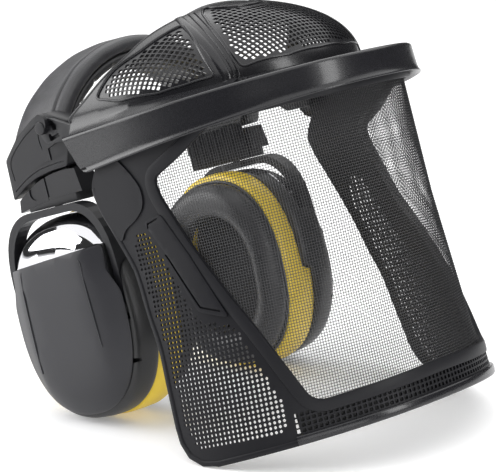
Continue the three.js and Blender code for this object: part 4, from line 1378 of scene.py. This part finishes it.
def build_headband():
    half, outer = BAND["half_width"], BAND["radius"]
    tops = np.concatenate([
        np.linspace(0.9 - half, -10.2, 8), np.linspace(-9.6, -6.4, 9), np.linspace(-5.6, half - 0.9, 22),
    ])
    section = [(-half, BAND_INNER + 2.2), (-half, outer - 4.4), (0.3 - half, outer - 3.2)]
    section += [(side, crown(side)) for side in tops]
    section += [(half - 0.3, outer - 3.2), (half, outer - 4.4), (half, BAND_INNER + 2.2)]
    section += [(half - 0.8, BAND_INNER + 0.6)]
    section += [(side, BAND_INNER + 0.1) for side in np.linspace(half - 2.4, 2.4 - half, 12)]
    section += [(0.8 - half, BAND_INNER + 0.6)]
    cover = band_piece("headband_cover", section, BAND["end_angle"], 180, rippled)
    finish(cover, "headband", BAND_LEATHER, ["headband_cover"], 60)

    half -= 1.5
    low = PAD_OUTER - PAD_THICKNESS
    section = [(-half, PAD_OUTER - 1.2), (0.9 - half, PAD_OUTER - 0.1)]
    section += [(side, PAD_OUTER) for side in np.linspace(2.5 - half, half - 2.5, 8)]
    section += [(half - 0.9, PAD_OUTER - 0.1), (half, PAD_OUTER - 1.2), (half, low + 2.6)]
    section += [(half - 0.9, low + 1.3)]
    lows = np.linspace(half - 2.2, 2.2 - half, 14)
    section += [(side, low + 0.9 * abs(side / half) ** 4) for side in lows]
    section += [(0.9 - half, low + 1.3), (-half, low + 2.6)]
    pad = band_piece("headband_pad", section, BAND["end_angle"] + 8, 130)
    points = to_wearer(mesh_points(pad.data))
    radii = np.hypot(points[:, 0], points[:, 2] - BAND["centre_z"])
    inflate(pad, radii > PAD_OUTER - 1.6, 3.0, 1.2)
    reshape(subdivide(pad), channels)
    finish(pad, "headband", PAD_LEATHER, ["headband_pad"], 60)


# ---------------------------------------------------------------- the CAD's own pieces

DRESSING = {
    "headband_spring": (STEEL, "steel", 0.2),
    "bracket_plate": (DARK, "satin_plastic", 0.4),
    "bracket_screw": (STEEL, "steel", 0.2),
    "latch": (BRACKET_PLASTIC, "satin_plastic", 0.3),
    "slider_block": (BRACKET_PLASTIC, "satin_plastic", 0.6),
    "slider_rail": (DARK, "satin_plastic", 0.3),
    "yoke_stem": (DARK, "steel", 0.25),
    "yoke": (BRACKET_PLASTIC, "satin_plastic", 0.8),
    "cup_pin": (STEEL, "steel", 0.25),
    "brow_pivot_pin": (BRACKET_PLASTIC, "satin_plastic", 0.3),
    "visor_hook": (MATT, "matt_plastic", 0.2),
}


BRACKET = [
    (-12, 114), (-3, 113.3), (13.4, 105.5), (27.2, 94.2), (28.3, 71.3), (17, 77), (6, 80.6), (-7, 82.2),
    (-20, 82.6), (-24, 91), (-29.3, 100), (-29.6, 106.3),
]
BRACKET_GROOVES = [
    [(-4.4, 105.5), (-3.6, 101), (-3.9, 96.9), (-5, 93.4), (-6.6, 90.4)],
    [(-3.2, 108.6), (10, 102.6), (22.6, 93.2), (23.4, 82)],
    [(24.8, 76.2), (14, 81), (3, 84.2), (-9, 85.4), (-19, 85.6)],
]
ARM = [
    (-10.2, 107.5), (-11.5, 110), (-15, 111), (-20, 110), (-35, 103), (-60, 95.5), (-60, 84), (-43, 84),
    (-33, 92), (-26, 96), (-13.5, 96.5), (-10.5, 101), (-10, 104),
]
ARM_RECESSES = [
    [(-18.3, 108.8), (-21.5, 108.4), (-24, 105.6), (-23.2, 102.9), (-20.4, 103.2), (-20.2, 105.4),
     (-18.3, 106.2)],
    [(-16.3, 100.4), (-16.9, 97.6), (-24.8, 98.9), (-24.3, 101.0), (-18.6, 100.1), (-18.3, 101.6),
     (-16.6, 101.9)],
]
ARM_FOOT = [(-40, 91.5), (-50, 91.5), (-50, 84), (-43, 84)]
BOSS = dict(y=-14.2, z=106.0, radius=3.7)
# How far out each of these starts and ends.
DEPTHS = dict(
    housing=(69.3, 81.3), arm=(82.3, 85.5), recess=(83.0, 90), arm_foot=(85.4, 93.4), boss=(85.5, 89.2),
)


def bracket_block(name, body, outline, ends, axis, side, edge, angle=50, segments=2):
    """A prism with rounded edges in the brackets' plastic."""
    piece = round_edges(prism(name, outline, *ends, axis, side), edge, angle, segments)
    finish(piece, body, BRACKET_PLASTIC)


def build_brackets():
    """The bracket housings with their fine grooves, and the hooked arms and bosses of the brow guard."""
    turns = 2 * PI * np.arange(40) / 40
    disc = np.stack([np.cos(turns), np.sin(turns)], 1) * BOSS["radius"] + (BOSS["y"], BOSS["z"])
    for label, side in SIDES.items():
        name = f"bracket_housing_{label}"
        housing = prism(name, rounded(BRACKET, 1.6), *DEPTHS["housing"], 0, side)
        round_edges(housing, 0.9, 50, 3)
        for line in BRACKET_GROOVES:
            path = smooth_line([(DEPTHS["housing"][1], y, z) for y, z in line], 24)
            up = np.tile((1.0, 0, 0), (24, 1))
            carve(housing, sweep("groove", path, up, oval(0.7, 0.9, 8), side=side))
        finish(housing, "headband", BRACKET_PLASTIC, [name], 40)

        name = f"brow_arm_{label}"
        arm = prism(name, rounded(ARM, 2.0), *DEPTHS["arm"], 0, side)
        recesses = [rounded(outline, 0.4) for outline in ARM_RECESSES]
        carve(arm, *[prism("recess", outline, *DEPTHS["recess"], 0, side) for outline in recesses])
        round_edges(arm, 0.4, 50)
        finish(arm, "brow_guard", BRACKET_PLASTIC, [name], 40)
        foot, ends = rounded(ARM_FOOT, 2), DEPTHS["arm_foot"]
        bracket_block(f"brow_arm_foot_{label}", "brow_guard", foot, ends, 0, side, 0.4)
        ends = DEPTHS["boss"]
        bracket_block(f"brow_pivot_boss_{label}", "brow_guard", disc, ends, 0, side, 0.6, segments=3)


RIB_PITCH = 1.6


def build_slider_parts():
    """The ribbed inner block of each height slider, and the neck that carries the yoke's stem."""
    crest, groove = 60.2, 61.1
    ribs = [(crest if i % 2 else groove, y) for i, y in enumerate(np.arange(-18.3, 22, RIB_PITCH))]
    block = [(66.7, 22.5), (61.5, 22.5), *ribs[::-1], (61.5, -19.3), (66.7, -19.3)]
    neck = rounded([(67.2, -20.5), (79.4, -20.5), (79.4, 20.5), (67.2, 20.5)], 1.5)
    for label, side in SIDES.items():
        body = f"slider_{label}"
        bracket_block(f"slider_inner_{label}", body, block, (63.3, 84.0), 2, side, 0.3, 60)
        bracket_block(f"slider_neck_{label}", body, neck, (62.8, 68.6), 2, side, 0.1, 60)


def dress_cad_nodes():
    """Rounds the edges of the CAD pieces that show, and gives each its material."""
    for name, piece in frame["nodes"].items():
        stem = max((key for key in DRESSING if name.startswith(key)), key=len, default=None)
        if stem is None:
            continue
        material, slot_name, width = DRESSING[stem]
        modify(
            piece, "BEVEL", width=width / 1000, segments=2, limit_method="ANGLE",
            angle_limit=math.radians(40), harden_normals=True,
        )
        piece.data.shade_smooth()
        piece.data.set_sharp_from_angle(angle=math.radians(35))
        piece.data.materials.clear()
        piece.data.materials.append(material)


# ---------------------------------------------------------------- stage, light and camera


def emitter(name, place, target, size, watts, mirrored_in_gloss=True):
    light = bpy.data.lights.new(name, "AREA")
    light.shape = "RECTANGLE"
    light.size, light.size_y = size
    light.energy = watts
    lamp = bpy.data.objects.new(name, light)
    lamp.location = place
    lamp.visible_glossy = mirrored_in_gloss
    aim(lamp, target)
    bpy.context.scene.collection.objects.link(lamp)


def aim(thing, target):
    direction = Vector(target) - thing.location
    thing.rotation_euler = direction.to_track_quat("-Z", "Y").to_euler()


FLOOR_GLOW = 0.22
BACKDROP_GLOW = 1.0
WORLD_GLOW = 0.05
BACKDROP = dict(radius=3.2, height=2.4)
FLOOR_LEVEL = -0.0014


def pale_surface(name, glow):
    material, tree, surface = shader(name)
    specks = noise(tree, 40.0, 2.0)
    tones = two_tone(tree, specks, (0.86, 0.86, 0.865), (0.885, 0.885, 0.89))
    feed(surface, "Base Color", tones)
    surface.inputs["Roughness"].default_value = 0.6
    surface.inputs["Emission Color"].default_value = (1, 1, 1, 1)
    surface.inputs["Emission Strength"].default_value = glow
    return material


def build_stage():
    """
    A pale table lit a little from beneath, so that shadows on it stay soft, and a pale screen round it
    that only the camera sees, so that it lights nothing.
    """
    bpy.ops.mesh.primitive_plane_add(size=14, location=(0, 0, FLOOR_LEVEL))
    floor = bpy.context.object
    floor.name = "floor"
    floor.data.materials.append(pale_surface("pale_floor", FLOOR_GLOW))
    bpy.ops.mesh.primitive_cylinder_add(
        vertices=96, radius=BACKDROP["radius"], depth=BACKDROP["height"], end_fill_type="NOTHING",
        location=(0, 0, FLOOR_LEVEL + BACKDROP["height"] / 2),
    )
    screen = bpy.context.object
    screen.name = "backdrop"
    screen.data.materials.append(pale_surface("pale_backdrop", BACKDROP_GLOW))
    screen.visible_diffuse = screen.visible_glossy = screen.visible_shadow = False
    world = bpy.data.worlds.new("studio")
    world.use_nodes = True
    background = world.node_tree.nodes["Background"].inputs
    background["Color"].default_value = (1, 1, 1, 1)
    background["Strength"].default_value = WORLD_GLOW
    bpy.context.scene.world = world
    bpy.context.scene.view_settings.view_transform = "Standard"


LENS_MM = 167.2
CAMERA_DISTANCE = 1.291
CAMERA_TURN = 49.7  # degrees round from straight in front, towards the wearer's right
CAMERA_TILT = 14.13
FIT_LEAN = 18.79
AIM_POINT = (0, -62, 20.5)
CAMERA_SHIFT = (0.0024, -0.0002)


def build_camera():
    """The camera is placed in a frame that leans a little further back than the object's own rest."""
    turn, tilt = math.radians(CAMERA_TURN), math.radians(CAMERA_TILT)
    ahead = Vector((math.sin(turn) * math.cos(tilt), math.cos(turn) * math.cos(tilt), -math.sin(tilt)))
    right = Vector((math.cos(turn), -math.sin(turn), 0))
    up = right.cross(ahead)
    upright = Matrix.Rotation(math.radians(FIT_LEAN) - LEAN, 3, "X")
    place = upright @ (-ahead * CAMERA_DISTANCE) + TO_ROW @ Vector(AIM_POINT)
    axes = Matrix([upright @ right, upright @ up, upright @ -ahead]).transposed().to_4x4()
    data = bpy.data.cameras.new("camera")
    data.lens = LENS_MM
    data.sensor_width = 36
    data.shift_x, data.shift_y = CAMERA_SHIFT
    camera = bpy.data.objects.new("camera", data)
    camera.matrix_world = Matrix.Translation(place) @ axes
    bpy.context.scene.collection.objects.link(camera)
    bpy.context.scene.camera = camera


def build_lights():
    """Each lamp: its place, what it points at, its width and height, and its watts."""
    middle = (0, -0.02, 0.1)
    emitter("overhead", (0.9, 0.9, 2.3), (0.9, 0.9, 0), (6.4, 6.4), 200)
    emitter("left_box", (-1.5, 0.75, 0.85), middle, (1.5, 1.1), 7, mirrored_in_gloss=False)
    emitter("back_box", (-1.3, 1.7, 0.85), middle, (1.7, 1.3), 36)
    emitter("front_box", (0.5, -1.9, 0.9), middle, (0.5, 1.3), 16)
    emitter("low_fill", (-0.9, -1.5, 0.35), (0, 0, 0), (1.6, 0.5), 7)


build_brim()
build_dome()
build_visor_frame()
build_visor_plates()
build_woven_mesh()
for label, side in SIDES.items():
    build_cup(label, side)
build_cushions()
build_headband()
build_brackets()
build_slider_parts()
dress_cad_nodes()
build_stage()
build_lights()
build_camera()
